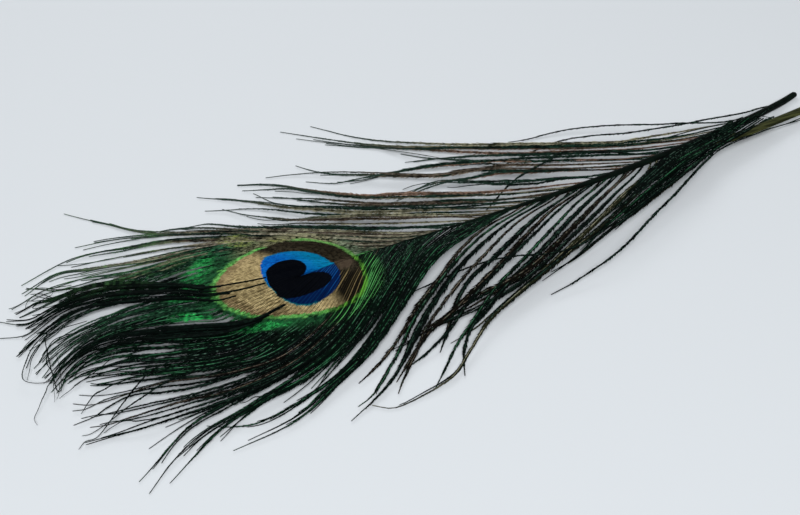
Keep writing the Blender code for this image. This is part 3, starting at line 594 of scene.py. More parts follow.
def add_barbules(strands, path, axes, reach, knitted, number, vane, rng, sign, barbule, short, fade):
    """One side's row of barbules: each is a narrow bent leaf of three triangles."""
    length = reach[-1]
    count = max(4, int(length / BARBULE_SPACING))
    s = (np.arange(count) + rng.random(count) * 0.7) * BARBULE_SPACING
    s = s[s < length - 0.3]
    share = s / length
    k = np.interp(s, reach, knitted)
    free = 1 - k

    def at(values):
        return np.stack([np.interp(s, reach, values[:, c]) for c in range(3)], 1)

    base, along, side, up = at(path), at(axes[0]), at(axes[1]), at(axes[2])
    n = len(s)
    taper = short + (1 - short) * smooth(share, 0.05, 0.5)
    taper *= (1 - fade * smooth(share, 0.55, 0.95)) * (1 - 0.7 * smooth(share, 0.9, 1.0))
    swell = 0.94 + 0.12 * np.sin(s * 0.9 + rng.random() * 6) * free
    size = barbule * taper * swell * (0.85 + 0.3 * rng.random(n))
    size = size * free + (KNITTED_BARBULE + 0.15 * rng.random(n)) * k
    lean = np.radians(BARBULE_LEAN + BARBULE_LEAN_MORE * k + 4 * rng.standard_normal(n))
    loose_lift = 5 * rng.standard_normal(n) - BARBULE_DROOP
    knitted_lift = 2 * rng.standard_normal(n) - KNITTED_DROOP
    lift = np.radians(loose_lift * free + knitted_lift * k)
    out = side * sign * np.cos(lift)[:, None] + up * np.sin(lift)[:, None]
    first = along * np.cos(lean)[:, None] + out * np.sin(lean)[:, None]
    curl = 0.3 + 0.15 * rng.standard_normal(n)[:, None] * free[:, None]
    second = unit(first + along * curl - up * (0.06 * free)[:, None])
    half = BARBULE_HALF_WIDTH - BARBULE_NARROWER * k
    wide = half[:, None] * along
    base = base + up * 0.06
    middle = base + first * (size * BARBULE_BEND)[:, None]
    tip = middle + second * (size * (1 - BARBULE_BEND))[:, None]
    points = np.stack([base - wide, base + wide, middle - wide, middle + wide, tip], 1).reshape(-1, 3)
    if sign > 0:
        pattern = np.array([[0, 1, 3], [0, 3, 2], [2, 3, 4]])
    else:
        pattern = np.array([[1, 0, 2], [1, 2, 3], [3, 2, 4]])
    faces = (np.arange(n)[:, None, None] * 5 + pattern[None]).reshape(-1, 3)
    ahead = np.cos(lean) * size
    bent = s + ahead * BARBULE_BEND
    places = np.stack([s - half, s + half, bent - half, bent + half, s + ahead * 0.95], 1).ravel()
    edge = np.tile([0.0, 0.0, BARBULE_BEND, BARBULE_BEND, 1.0], n)
    across = sign * (0.1 + 0.9 * edge * np.repeat(np.minimum(size / 1.9, 1.0), 5))
    strands.add(points, faces, places, places / length, edge, across, number, vane, np.repeat(k, 5))


# ---------------------------------------------------------------- laying the barbs

def lay(flat, rng, lift=0.0, wander=0.0, trim=1.0, curl=0.0, on_top=False):
    """A barb's path in space from its path on the surface.

    It wanders sideways, is trimmed to a share of its length, curls sideways at its end, and is lifted
    above the middle layer. On top means over the shaft and the other barbs right from its start.
    """
    share = np.linspace(0, 1, len(flat))
    line = flat.copy()
    along = unit(np.gradient(line, axis=0))
    normal = np.stack([-along[:, 1], along[:, 0]], 1)
    calm = 1 - 0.85 * knit(line[:, 0], line[:, 1])
    line += normal * (wander * wave(share, 2.2, rng) * smooth(share, 0.1, 0.9) * calm)[:, None]
    bend = np.clip((share - CURL_FROM) / (1 - CURL_FROM), 0, 1) ** 2
    line += normal * (curl * bend)[:, None]
    line = evenly(line[:max(8, int(len(line) * trim))], len(flat))
    x, y = line[:, 0], line[:, 1]
    if on_top:
        sink = np.zeros_like(share)
        bump = 1 - smooth(share, 0.7, 1.0)
        loose = 1 - 0.5 * knit(x, y)
        base = shaft_top(x, y)
    else:
        sink = smooth(share, 0.75, 1.0) * 0.5
        bump = np.sin(np.clip(share * 1.1, 0, 1) * math.pi) ** 0.7
        loose = (1 - 0.9 * knit(x, y)) * smooth(share, 0.02, 0.3)
        base = 0.0
    z = height(x, y) * (1 - sink) + REST_HEIGHT * sink + lift * bump * loose + base
    z += 0.35 * np.abs(wander) * wave(share, 3.0, rng) * loose * smooth(share, 0.1, 0.4)
    z = np.maximum(z, 0.15 + 0.1 * rng.random())
    return np.column_stack([line, z])


def between_guides(guides, count, clump, cross, clump_over, gather, rng):
    """The guides' own paths and, between each pair, more that are drawn to the nearer guide or cross over."""
    guides = np.array(guides)
    share = np.linspace(0, 1, STEPS)
    step = np.arange(STEPS)
    last = len(guides) - 1
    paths = []
    for i in range(last + 1):
        for k in range(count + 1 if i < last else 1):
            w = 0.0 if k == 0 else (k + 0.3 * (rng.random() - 0.5)) / (count + 1)
            pull = clump * smooth(share, *clump_over) * (round(w) - w) * (0.7 + 0.4 * rng.random())
            stray = (cross if k else 0.0) * rng.standard_normal() * smooth(share, 0.45, 1.0)
            bundle = (math.floor((i + w) / BUNDLE) + 0.5) * BUNDLE - i - w
            bundle = gather * bundle * smooth(share, 0.08, 0.4) * (1 - smooth(share, 0.75, 1.0))
            q = np.clip(i + w + pull + stray + bundle, 0, last - 1e-6)
            low = q.astype(int)
            part = (q - low)[:, None]
            paths.append((guides[low, step] * (1 - part) + guides[low + 1, step] * part, k == 0))
    return paths


def grow_vane(name, guides, count, vane, rng, material, tones="k", fill="k", clump=0.7, cross=0.0, wander=1.2,
              lift=1.6, clump_over=(0.15, 0.85), gather=0.0, curl=1.2, on_top=False, **looks):
    """A family of barbs: the guides and count more between each two of them.

    tones are those of the guides' own barbs and fill those of the barbs between. clump draws these to
    the nearer guide, over the shares clump_over of their length. cross lets their ends cross each
    other, and gather draws the barbs of a bundle together.
    """
    strands = Strands(name)
    owned = 0
    for flat, own in between_guides(guides, count, clump, cross, clump_over, gather, rng):
        if own:
            tone = tones[owned % len(tones)]
            owned += 1
        else:
            tone = fill[strands.barbs % len(fill)]
        trim = 1.0 if own else 0.8 + 0.18 * rng.random()
        freedom = 0.4 if own else 1.0
        raised = rng.random()
        if on_top:
            raised = 0.6 + 0.4 * raised
        path = lay(flat, rng, lift=lift * raised, wander=wander * freedom, trim=trim,
                   curl=curl * freedom * rng.standard_normal(), on_top=on_top)
        barb(strands, path, vane, rng, tone=tone, roll=0.25 * rng.standard_normal(), **looks)
    strands.build(material)


def grow_loose(name, paths, rng, material, lift, **looks):
    """Single black barbs that lie over the others."""
    strands = Strands(name)
    for points in paths:
        raised = 0.7 + 0.6 * rng.random()
        path = lay(spline(points, STEPS), rng, lift=lift * raised, wander=0.5, on_top=True)
        barb(strands, path, LOWER, rng, roll=0.2 * rng.standard_normal(), loose=True, **looks)
    strands.build(material)


def grow_strays(rng, material):
    strands = Strands("stray_barbs")
    for b in STRAYS:
        path = lay(guide(b), rng, lift=1.8, wander=0.1)
        barb(strands, path, LOWER, rng, barbule=1.6, thick=0.5, short=0.9, fade=0.3)
    strands.build(material)


def make_upper_vane(upper, rng, material):
    grow_vane("upper_barbs", upper[:12], 1, UPPER, rng, material, tones="oocckkkbbkkc", fill="kkbkoc",
              barbule=2.3, clump=0.95, clump_over=(0.0, 0.14), wander=0.9, short=0.5)
    grow_vane("upper_barbs_inner", upper[11:21], 1, UPPER, rng, material, tones="ckbkokbokb", fill="kokbk",
              barbule=2.2, clump=0.9, clump_over=(0.0, 0.15), gather=0.6, wander=0.9)
    grow_vane("upper_eye_barbs", upper[20:-2], 3, UPPER, rng, material, tones="bopkopbo", fill="kobpkb",
              barbule=1.8, wander=0.8, lift=0.8, clump=0.85, clump_over=(0.4, 0.7))
    grow_vane("upper_lock", upper[-3:], 5, UPPER, rng, material, tones="og", fill="okgko", barbule=1.5,
              clump=0.2, cross=0.2, wander=1.4, lift=1.2)


def make_fringe(tip_upper, tip_lower, tip_lowest, rng, material):
    grow_vane("tip_barbs_upper", tip_upper, 2, BOTH, rng, material, tones="kg", fill="kkg", barbule=1.8,
              clump=0.5, clump_over=(0.5, 0.85), cross=0.45, wander=1.4, lift=1.0, curl=2.2)
    grow_vane("tip_barbs_lower", tip_lower, 1, LOWER, rng, material, tones="kggk", fill="kg", barbule=2.3,
              clump=0.3, clump_over=(0.5, 0.85), cross=0.6, wander=1.5, lift=1.0, curl=2.6)
    grow_vane("tip_barbs_under", tip_lower[3:], 1, LOWER, rng, material, tones="kg", fill="kgk", barbule=2.0,
              cross=0.5, wander=1.8, lift=0.2, curl=3.0)
    grow_vane("tip_barbs_lowest", tip_lowest, 0, LOWER, rng, material, tones="kkbkk", barbule=2.1, thick=0.36,
              wander=1.0, lift=1.0)


def make_lower_vane(lower_eye, lower, outer, base, rng, material):
    grow_vane("lower_eye_barbs", lower_eye, 4, LOWER, rng, material, tones="kg", fill="kgkk", barbule=2.0,
              clump=0.9, clump_over=(0.35, 0.65), cross=0.15, wander=0.6, lift=0.7, short=0.5, thick=0.34)
    grow_vane("lower_barbs", lower, 1, LOWER, rng, material, tones="bgkbkbkgkbk", fill="kbk", barbule=2.4,
              clump=0.98, clump_over=(0.0, 0.12), wander=0.5, short=0.45, thick=0.44, fade=0.4)
    grow_vane("lower_barbs_outer", outer, 1, LOWER, rng, material, tones="kookkgk", fill="kok", barbule=2.0,
              clump=0.98, clump_over=(0.0, 0.12), wander=0.6, short=0.6, fade=0.6)
    grow_vane("base_barbs", base, 1, LOWER, rng, material, tones="k", fill="kgk", barbule=2.3, clump=0.3,
              short=0.4, on_top=True, lift=0.5, wander=0.5)


def make_black_barbs(rng, material):
    upper = [spline(b, STEPS) for b in BLACK_UPPER]
    lower = [spline(b, STEPS) for b in BLACK_LOWER]
    over_fringe = [left_part(b, FRINGE_X) for b in upper]
    grow_vane("black_barbs_upper", upper, 0, BLACK, rng, material, barbule=2.0, thick=0.55, short=0.3,
              lift=2.2, wander=0.7, on_top=True, loose=True)
    grow_vane("black_barbs_lower", lower, 1, BLACK, rng, material, barbule=1.9, thick=0.8, short=0.4,
              fade=0.92, lift=2.4, wander=0.5, on_top=True, loose=True)
    grow_vane("black_lock_upper", over_fringe, 0, BLACK, rng, material, barbule=1.4, thick=0.3, clump=0.3,
              lift=1.6, wander=1.6, short=0.4, on_top=True, loose=True)


def make_feather(material):
    """All barbs. Most neighbouring families share a guide, so that no gap opens between them."""
    rng = np.random.default_rng(SEED)
    upper = [guide(b) for b in UPPER_VANE]
    tip_upper = upper[-1:] + [guide(b) for b in TIP_UPPER]
    tip_lower = tip_upper[-1:] + [guide(b) for b in TIP_LOWER]
    tip_lowest = tip_lower[-1:] + [guide(b) for b in TIP_LOWEST]
    lower_eye = tip_lowest[-1:] + [guide(b) for b in LOWER_VANE[:7]]
    lower = [guide(b) for b in LOWER_VANE[7:18]]
    outer = [guide(b) for b in LOWER_VANE[17:]]
    base = [spline(b, STEPS) for b in BASE_BARBS]
    make_upper_vane(upper, rng, material)
    make_fringe(tip_upper, tip_lower, tip_lowest, rng, material)
    make_lower_vane(lower_eye, lower, outer, base, rng, material)
    make_black_barbs(rng, material)
    grow_loose("crossing_barbs", CROSSING, rng, material, 1.5, barbule=0.9, thick=0.25)
    grow_loose("curled_tips", CURLS, rng, material, 1.5, barbule=0.5, thick=0.14)
    grow_loose("hairs", HAIRS, rng, material, 0.3, barbule=1.1, thick=0.3)
    grow_strays(rng, material)


def make_web(material):
    """The knitted barbules under the eye's barbs: one thin sheet of overlapping rows, without gaps."""
    rng = np.random.default_rng(SEED)
    strands = Strands("eye_web")
    share = np.linspace(0, 1, STEPS)
    side = np.array([0.0, WEB_ROW_HALF_WIDTH, 0.0])
    start = np.arange(STEPS - 1) * 2
    faces = np.vstack([np.stack([start, start + 1, start + 3], 1),
                       np.stack([start, start + 3, start + 2], 1)])
    for v in np.arange(-1.0, 1.0, WEB_ROW_STEP):
        half = WEB_HALF[0] * math.sqrt(1 - v * v) + rng.random()
        y = np.full(STEPS, WEB_CENTRE[1] + WEB_HALF[1] * v)
        x = np.linspace(half, -half, STEPS) + WEB_CENTRE[0] - WEB_SHEAR * (y - WEB_CENTRE[1])
        line = np.column_stack([x, y, height(x, y) - WEB_DEPTH])
        points = np.stack([line - side, line + side], 1).reshape(-1, 3)
        two = np.repeat(share, 2)
        strands.add(points, faces, along=two * half * 2, share=two, edge=np.full(STEPS * 2, 0.6),
                    across=np.tile([-1.0, 1.0], STEPS), number=0.5, vane=LOWER, knitted=np.ones(STEPS * 2))
        strands.barbs += 1
    strands.build(material)


# ---------------------------------------------------------------- the shaft

def tube(name, line, radii, flatness, sides, material):
    """A closed oval tube along a line."""
    along = unit(np.gradient(line, axis=0))
    side = unit(np.cross(along, (0, 0, 1)))
    up = np.cross(side, along)
    rings = []
    for k in range(sides):
        turn = 2 * math.pi * k / sides
        rings.append(line + (side * math.cos(turn) + up * math.sin(turn) * flatness) * radii[:, None])
    count = len(line)
    points = np.vstack([np.stack(rings, 1).reshape(-1, 3), line[:1], line[-1:]])
    faces = []
    for i in range(count - 1):
        for a in range(sides):
            b = (a + 1) % sides
            faces.append((i * sides + a, i * sides + b, (i + 1) * sides + b, (i + 1) * sides + a))
    for a in range(sides):
        b = (a + 1) % sides
        faces.append((count * sides, b, a))
        faces.append((count * sides + 1, (count - 1) * sides + a, (count - 1) * sides + b))
    mesh = bpy.data.meshes.new(name)
    mesh.from_pydata(in_metres(points).tolist(), [], faces)
    add_piece(name, mesh, material)


def make_shaft(material, skin):
    """The shaft, which tapers to a hair in the eye, and the sliver of its skin."""
    line = np.vstack([SHAFT[0], spline(SHAFT[1:], SHAFT_RINGS)])
    radii = line[:, 3] * (0.15 + 0.85 * smooth(line[:, 0], -34.0, 90.0))
    tube("shaft", line[:, :3], radii, SHAFT_FLATNESS, SHAFT_SIDES, material)
    wide = SLIVER_HALF_WIDTH * (0.75 + 0.25 * smooth(np.linspace(0, 1, SLIVER_RINGS), 0, 0.2))
    tube("shaft_sliver", spline(SLIVER, SLIVER_RINGS), wide, SLIVER_FLATNESS, SLIVER_SIDES, skin)


# ---------------------------------------------------------------- materials

# Dark colour of each of the strands' TONES, and its light colour: painted sheen along the middle of the lower
# vane's barbs, and on the upper vane partly the barbules' own pale tone, partly painted sheen.
DARK = [
    (0.0015, 0.003, 0.0025),
    (0.0015, 0.005, 0.003),
    (0.004, 0.0035, 0.0025),
    (0.012, 0.013, 0.006),
    (0.018, 0.011, 0.007),
    (0.06, 0.055, 0.035),
]
SHEEN_AND_PALE_TONE = [
    (0.014, 0.042, 0.027),
    (0.045, 0.20, 0.090),
    (0.16, 0.125, 0.09),
    (0.38, 0.36, 0.24),
    (0.31, 0.20, 0.145),
    (0.45, 0.41, 0.31),
]
# Painted glint: bright specks along a barb's middle that stand in for the barbules' glints of light.
PAINTED_GLINT = (0.06, 0.11, 0.08)
THIN_END = (0.022, 0.04, 0.03)
PALE_ROOT = (0.11, 0.095, 0.06)

# Colours in and round the eye. Where there are two, they are the dark and the light streaks.
OLIVE = ((0.004, 0.005, 0.0025), (0.26, 0.25, 0.135))
LEAF = ((0.0015, 0.005, 0.003), (0.018, 0.11, 0.036))
PALE_HALO = ((0.008, 0.014, 0.007), (0.28, 0.36, 0.23))
BETWEEN_LINES = (0.0012, 0.004, 0.0025)
# Painted sheen: lit lines along the barbs below right of the eye, brighter near the ring.
SHEEN_LINES_FAR_AND_NEAR = ((0.085, 0.22, 0.125), (0.12, 0.50, 0.13))
EMERALD = ((0.006, 0.12, 0.03), (0.03, 0.42, 0.09))
YELLOW_GREEN = (0.20, 0.23, 0.055)
TIP_GREEN = (0.05, 0.13, 0.045)
RING_LEFT = ((0.04, 0.19, 0.035), (0.17, 0.52, 0.12))
RING_RIGHT = ((0.05, 0.17, 0.03), (0.20, 0.46, 0.12))
# Painted sheen: lit lines along the barbs where the ring breaks up below right.
RING_SHEEN_LINES = ((0.002, 0.010, 0.003), (0.16, 0.50, 0.05))
BRONZE = ((0.24, 0.18, 0.08), (0.56, 0.44, 0.215))
BRONZE_RIM = (0.17, 0.105, 0.055)
BRONZE_BARS = (0.055, 0.045, 0.014)
BROWN = ((0.005, 0.004, 0.002), (0.042, 0.034, 0.020))
BROWN_PATCH = (0.11, 0.075, 0.05)
# Painted glints: gold lines along the barbs in the brown part of the bronze oval, below right.
GOLD_GLINT_LINES = ((0.003, 0.0025, 0.0015), (0.25, 0.185, 0.08))
AZURE_LEFT_AND_RIGHT = ((0.0, 0.12, 0.52), (0.0, 0.27, 0.40))
AZURE_STREAK = (0.0, 0.17, 0.55)
AZURE_FLECK = (0.0, 0.04, 0.20)
DEEP_BLUE = ((0.0, 0.008, 0.05), (0.003, 0.085, 0.31))
TEAL_RIM = (0.0, 0.19, 0.21)
HEART_BLACK = (0.0005, 0.0012, 0.003)

# Slanting ellipses: the middle's x and y, half length, half width and slope in degrees.
EMERALD_PATCHES = [
    (-61.0, 19.6, 11.0, 4.4, 42.0),
    (-71.0, -0.5, 7.5, 2.6, -40.0),
    (-70.0, 9.5, 6.0, 1.6, -28.0),
    (-54.5, -14.0, 9.5, 2.2, -17.0),
]
YELLOW_PATCHES = [
    (-44.0, 29.0, 7.0, 3.5, -38.0),
    (-33.0, 22.0, 3.5, 1.2, -35.0),
]
BROWN_PATCHES = [(-20.5, -1.0, 3.0, 2.6, 0.0)]
RING_GAPS = [(-34.0, 21.0, 6.0, 3.0, -15.0)]


class Term:
    """A number in a node tree that can be added, multiplied and compared like a plain one."""

    def __init__(self, tree, socket):
        self.tree = tree
        self.socket = socket

    def op(self, kind, other=None):
        node = self.tree.nodes.new("ShaderNodeMath")
        node.operation = kind
        for place, value in zip(node.inputs, (self, other)):
            if isinstance(value, Term):
                self.tree.links.new(value.socket, place)
            elif value is not None:
                place.default_value = value
        return Term(self.tree, node.outputs[0])

    def __add__(self, other):
        return self.op("ADD", other)

    def __sub__(self, other):
        return self.op("SUBTRACT", other)

    def __mul__(self, other):
        return self.op("MULTIPLY", other)

    def __truediv__(self, other):
        return self.op("DIVIDE", other)

    def __pow__(self, other):
        return self.op("POWER", other)

    def maximum(self, other):
        return self.op("MAXIMUM", other)

    def minimum(self, other):
        return self.op("MINIMUM", other)

    def abs(self):
        return self.op("ABSOLUTE")

    def fract(self):
        return self.op("FRACT")

    def flip(self):
        """1 where this is 0 and 0 where it is 1."""
        return self * -1.0 + 1.0

    def step(self, low, high):
        """0 below low and 1 above high, or the reverse if low is above high."""
        node = self.tree.nodes.new("ShaderNodeMapRange")
        node.interpolation_type = "SMOOTHSTEP"
        ends = (low, high, 0.0, 1.0) if low < high else (high, low, 1.0, 0.0)
        for place, value in zip(node.inputs[1:5], ends):
            place.default_value = value
        self.tree.links.new(self.socket, node.inputs[0])
        return Term(self.tree, node.outputs[0])


class Painter:
    """Short names for the nodes a material needs."""

    def __init__(self, name):
        self.material = bpy.data.materials.new(name)
        self.material.use_nodes = True
        self.tree = self.material.node_tree
        self.shader = self.tree.nodes["Principled BSDF"]

    def node(self, kind):
        return self.tree.nodes.new(kind)

    def term(self, socket):
        return Term(self.tree, socket)

    def attribute(self, name):
        node = self.node("ShaderNodeAttribute")
        node.attribute_name = name
        return self.parts(node.outputs["Vector"])

    def parts(self, socket):
        node = self.node("ShaderNodeSeparateXYZ")
        self.tree.links.new(socket, node.inputs[0])
        return [self.term(output) for output in node.outputs]

    def vector(self, *terms):
        node = self.node("ShaderNodeCombineXYZ")
        for place, value in zip(node.inputs, terms):
            if isinstance(value, Term):
                self.tree.links.new(value.socket, place)
            else:
                place.default_value = value
        return node.outputs[0]

    def noise(self, vector, scale, detail=2.0):
        node = self.node("ShaderNodeTexNoise")
        node.inputs["Scale"].default_value = scale
        node.inputs["Detail"].default_value = detail
        self.tree.links.new(vector, node.inputs["Vector"])
        return self.term(node.outputs["Fac"])

    def palette(self, share, colours):
        """One of the colours, by which of as many equal parts of 0 to 1 share lies in."""
        ramp = self.node("ShaderNodeValToRGB")
        self.tree.links.new(share.socket, ramp.inputs[0])
        stops = ramp.color_ramp
        stops.interpolation = "CONSTANT"
        while len(stops.elements) < len(colours):
            stops.elements.new(1.0)
        for k, (stop, colour) in enumerate(zip(stops.elements, colours)):
            stop.position = k / len(colours)
            stop.color = (*colour, 1.0)
        return ramp.outputs[0]

    def mix(self, share, under, over):
        """under where share is 0 and over where it is 1."""
        node = self.node("ShaderNodeMix")
        node.data_type = "RGBA"
        self.tree.links.new(share.socket, node.inputs["Factor"])
        for place, value in ((node.inputs[6], under), (node.inputs[7], over)):
            if isinstance(value, tuple):
                place.default_value = (*value, 1.0)
            else:
                self.tree.links.new(value, place)
        return node.outputs[2]

    def spot(self, factors, offset=(0.0, 0.0, 0.0)):
        """The place on the part in metres, times the factors and moved by the offset."""
        node = self.node("ShaderNodeVectorMath")
        node.operation = "MULTIPLY_ADD"
        self.tree.links.new(self.node("ShaderNodeTexCoord").outputs["Object"], node.inputs[0])
        node.inputs[1].default_value = factors
        node.inputs[2].default_value = offset
        return node.outputs[0]

    def scale(self, colour, factor):
        node = self.node("ShaderNodeVectorMath")
        node.operation = "SCALE"
        self.tree.links.new(colour, node.inputs[0])
        self.tree.links.new(factor.socket, node.inputs["Scale"])
        return node.outputs[0]

    def finish(self, colour, rough, specular, relief, strength, depth):
        """Colour, roughness, gloss and bump on the shader."""
        self.tree.links.new(colour, self.shader.inputs["Base Color"])
        self.tree.links.new(rough.socket, self.shader.inputs["Roughness"])
        self.shader.inputs["Specular IOR Level"].default_value = specular
        bump = self.node("ShaderNodeBump")
        bump.inputs["Strength"].default_value = strength
        bump.inputs["Distance"].default_value = depth
        self.tree.links.new(relief.socket, bump.inputs["Height"])
        self.tree.links.new(bump.outputs[0], self.shader.inputs["Normal"])
        return self.material


class BarbPainter(Painter):
    """Paints the barbs by their place in the drawing, in millimetres, and by the place along each barb."""

    def __init__(self, name):
        super().__init__(name)
        spot = self.spot((1 / MM, 1 / MM, 1 / MM), (MIDDLE[0], MIDDLE[1], 0.0))
        self.x, self.y, _ = self.parts(spot)
        along, self.number, self.edge = self.attribute("strand")
        self.share, self.vane, self.knitted = self.attribute("kind")

        self.patches = self.noise(self.vector(along * 0.14, self.number * 931.0, 0.0), 1.0, 2.0)
        self.flecks = self.noise(self.vector(along * 0.8, self.number * 577.0, self.edge * 0.8), 1.0, 3.0)
        self.grain = self.noise(spot, 2.6, 2.0)
        self.streak = self.flecks.step(0.35, 0.65)
        self.middle = self.edge.step(0.22, 0.04)
        self.mottled = self.edge.step(0.25, 0.6) * 0.5 + self.streak * 0.5
        self.laid = self.knitted.step(0.0, 0.4)
        self.not_black = self.vane.step(-0.9, -0.4)

        # The eye's outlines are ragged from barb to barb.
        self.own_step = (self.number * 37.0).fract() - 0.5
        self.ragged = self.own_step * 0.035 + (self.grain - 0.5) * 0.05 + (self.flecks - 0.5) * 0.04
        own_light = self.patches * 0.45 + self.flecks * 0.35 + (self.own_step + 0.5) * 0.2
        self.barb_lit = own_light.step(0.40, 0.58)
        self.fine_line = self.middle * (self.own_step.step(-0.08, 0.06) * 0.95 + 0.05)
        self.above = (self.y + self.x * 0.05).step(-0.6, 0.6)
        self.right = (self.x - self.y * 0.6 + 26.0).step(-2.0, 6.0)
        self.left = (self.x + self.y * 0.1 + 44.0).step(6.0, -6.0)
        self.low_right = self.right * self.above.flip()
        self.oval = self.egg(-32.6, 1.8, 27.6, 15.6, 18.6, -0.16)

    def egg(self, cx, cy, left_length, right_length, half_width, shear):
        """1 on the outline of an egg with its blunt end at the right, less inside it."""
        v = self.y - cy
        u = (self.x - cx) - v * shear
        u = u.maximum(0.0) / right_length + u.minimum(0.0) / left_length
        return (u ** 2.0 + (v / half_width) ** 2.0) ** 0.5 + self.ragged

    def ellipse(self, cx, cy, a, b, shear=0.0, power=2.0, taper=0.0):
        """1 on the outline of an upright ellipse, less inside it; a higher power makes it squarer."""
        v = self.y - cy
        u = (self.x - cx) - v * shear
        v = v * (u * taper + 1.0)
        return ((u / a).abs() ** power + (v / b).abs() ** power) ** (1.0 / power) + self.ragged

    def inside(self, patches):
        """1 inside any of some slanting ellipses and 0 outside."""
        shares = []
        for cx, cy, half_length, half_width, slope in patches:
            turn = math.radians(slope)
            u = ((self.x - cx) * math.cos(turn) + (self.y - cy) * math.sin(turn)) / half_length
            v = ((self.y - cy) * math.cos(turn) - (self.x - cx) * math.sin(turn)) / half_width
            reach = u ** 2.0 + v ** 2.0 + self.ragged * 6.0 + self.own_step * 0.9
            shares.append(reach.step(1.3, 0.5))
        total = shares[0]
        for share in shares[1:]:
            total = total.maximum(share)
        return total

    def herl(self):
        """Loose barbs: near black with a painted sheen line along the middle below; mottled above, partly by
        the barbules' pale tone and partly by painted sheen.
        """
        upper = self.vane.step(0.3, 0.9)
        # Painted sheen: a lit line along each lower barb's middle, and on the upper vane a mottling that is
        # partly pale barbules and partly painted sheen, which makes that vane look lighter.
        painted_sheen_line = self.middle * (self.patches * 0.5 + self.flecks * 0.5).step(0.45, 0.57)
        sheen_and_pale_share = painted_sheen_line * upper.flip() + self.mottled * self.patches.step(0.28, 0.55) * upper
        sheen_and_pale_share = sheen_and_pale_share * (self.not_black * 0.75 + 0.25)
        colour = self.mix(sheen_and_pale_share, self.palette(self.number, DARK), self.palette(self.number, SHEEN_AND_PALE_TONE))
        # Painted glints: bright specks along the middle of the barbs, fewer on the upper vane and none on the
        # black barbs.
        painted_glints = self.middle * self.flecks.step(0.55, 0.63) * (upper * -0.6 + 1.0) * self.not_black
        colour = self.mix(painted_glints, colour, PAINTED_GLINT)
        colour = self.mix(self.share.step(0.62, 0.9) * upper, colour, THIN_END)
        root = self.share.step(0.14, 0.07) * self.vane.step(0.6, 0.9)
        root = root * self.x.step(20.0, 30.0) * self.x.step(52.0, 40.0)
        return self.mix(root * (self.number * 47.0).fract().step(0.45, 0.6), colour, PALE_ROOT)

    def halo(self, colour):
        """Round the eye: olive above, leaf green at the left and below; at the right pale above, and below it
        painted sheen lines along the barbs on near black.
        """
        olive = self.mix((self.barb_lit * 0.6 + self.streak * 0.4).step(0.2, 0.8), *OLIVE)
        leaf = self.mix(self.barb_lit, *LEAF)
        pale = self.mix((self.mottled * 0.5 + self.barb_lit * 0.5).step(0.3, 0.7), *PALE_HALO)
        sheen_lines = self.mix(self.oval.step(1.7, 1.2), *SHEEN_LINES_FAR_AND_NEAR)
        sheen_lines = self.mix(self.fine_line * self.patches.step(0.30, 0.55), BETWEEN_LINES, sheen_lines)
        near = self.mix(self.left.maximum(self.above.flip()), olive, leaf)
        near = self.mix(self.right, near, self.mix(self.above, sheen_lines, pale))
        share = self.oval.step(1.42, 1.06) * (self.grain.step(0.3, 0.6) * 0.4 + 0.6)
        share = share.maximum(self.low_right * self.oval.step(1.75, 1.45))
        return self.mix(share * self.laid, colour, near)

    def bright_patches(self, colour):
        """Bright green left of the ring, yellow-green streaks above it, and green upper tips."""
        bright = self.inside(EMERALD_PATCHES) * (self.barb_lit * 0.85 + 0.15)
        bright = bright * self.oval.step(1.05, 1.09) * self.not_black
        bright = bright * (self.own_step.step(-0.22, -0.02) * 0.78 + 0.22)
        emerald = self.mix(self.streak, *EMERALD)
        colour = self.mix(bright * (self.middle * -0.8 + 1.0), colour, emerald)
        streaks = self.inside(YELLOW_PATCHES) * self.barb_lit * self.streak
        colour = self.mix(streaks, colour, YELLOW_GREEN)
        tips = self.x.step(-56.0, -66.0) * (self.y + self.x * 0.35).step(-8.0, 4.0)
        tips = tips * self.patches.step(0.42, 0.58) * self.streak * self.knitted.flip() * 0.8
        return self.mix(tips, colour, TIP_GREEN)

    def ring(self, colour):
        """The green ring, with a gap above. Below right it breaks up into painted sheen lines along the
        barbs.
        """
        sheen_lines = self.mix(self.fine_line.maximum(self.barb_lit * 0.4), *RING_SHEEN_LINES)
        left = self.mix(self.streak, *RING_LEFT)
        right = self.mix(self.streak, *RING_RIGHT)
        green = self.mix(self.x.step(-34.0, -24.0), left, right)
        green = self.mix(self.low_right, green, sheen_lines)
        edge = self.x.step(-30.0, -50.0) * -0.015 + (self.patches - 0.5) * 0.12
        share = (self.oval - edge).step(1.10, 1.06) * self.inside(RING_GAPS).flip()
        share = share * (self.barb_lit * 0.3 + 0.7)
        return self.mix(share * self.laid, colour, green)

    def bronze(self, colour, brown_share):
        """The bronze oval, brown at the right with painted gold glint lines along the barbs below, and dark
        bars at the lower left.
        """
        oval = self.mix(self.streak, *BRONZE)
        oval = self.mix((self.oval - self.ragged).step(0.80, 1.0) * self.left * 0.6, oval, BRONZE_RIM)
        brown = self.mix(self.streak, *BROWN)
        brown = self.mix(self.inside(BROWN_PATCHES) * 0.45, brown, BROWN_PATCH)
        gold_glints = self.mix(self.fine_line, *GOLD_GLINT_LINES)
        brown = self.mix((self.y + self.x * 0.3).step(-9.0, -13.0), brown, gold_glints)
        oval = self.mix(brown_share, oval, brown)
        bars = ((self.y * 0.68 + self.x * 0.03 + self.grain * 0.25).fract() - 0.5).abs().step(0.26, 0.44)
        bars = bars * self.x.step(-42.0, -46.0) * self.y.step(0.9, 0.3) * (self.patches * 0.5 + 0.45)
        oval = self.mix(bars, oval, BRONZE_BARS)
        return self.mix(self.oval.step(1.015, 0.985) * self.laid, colour, oval)

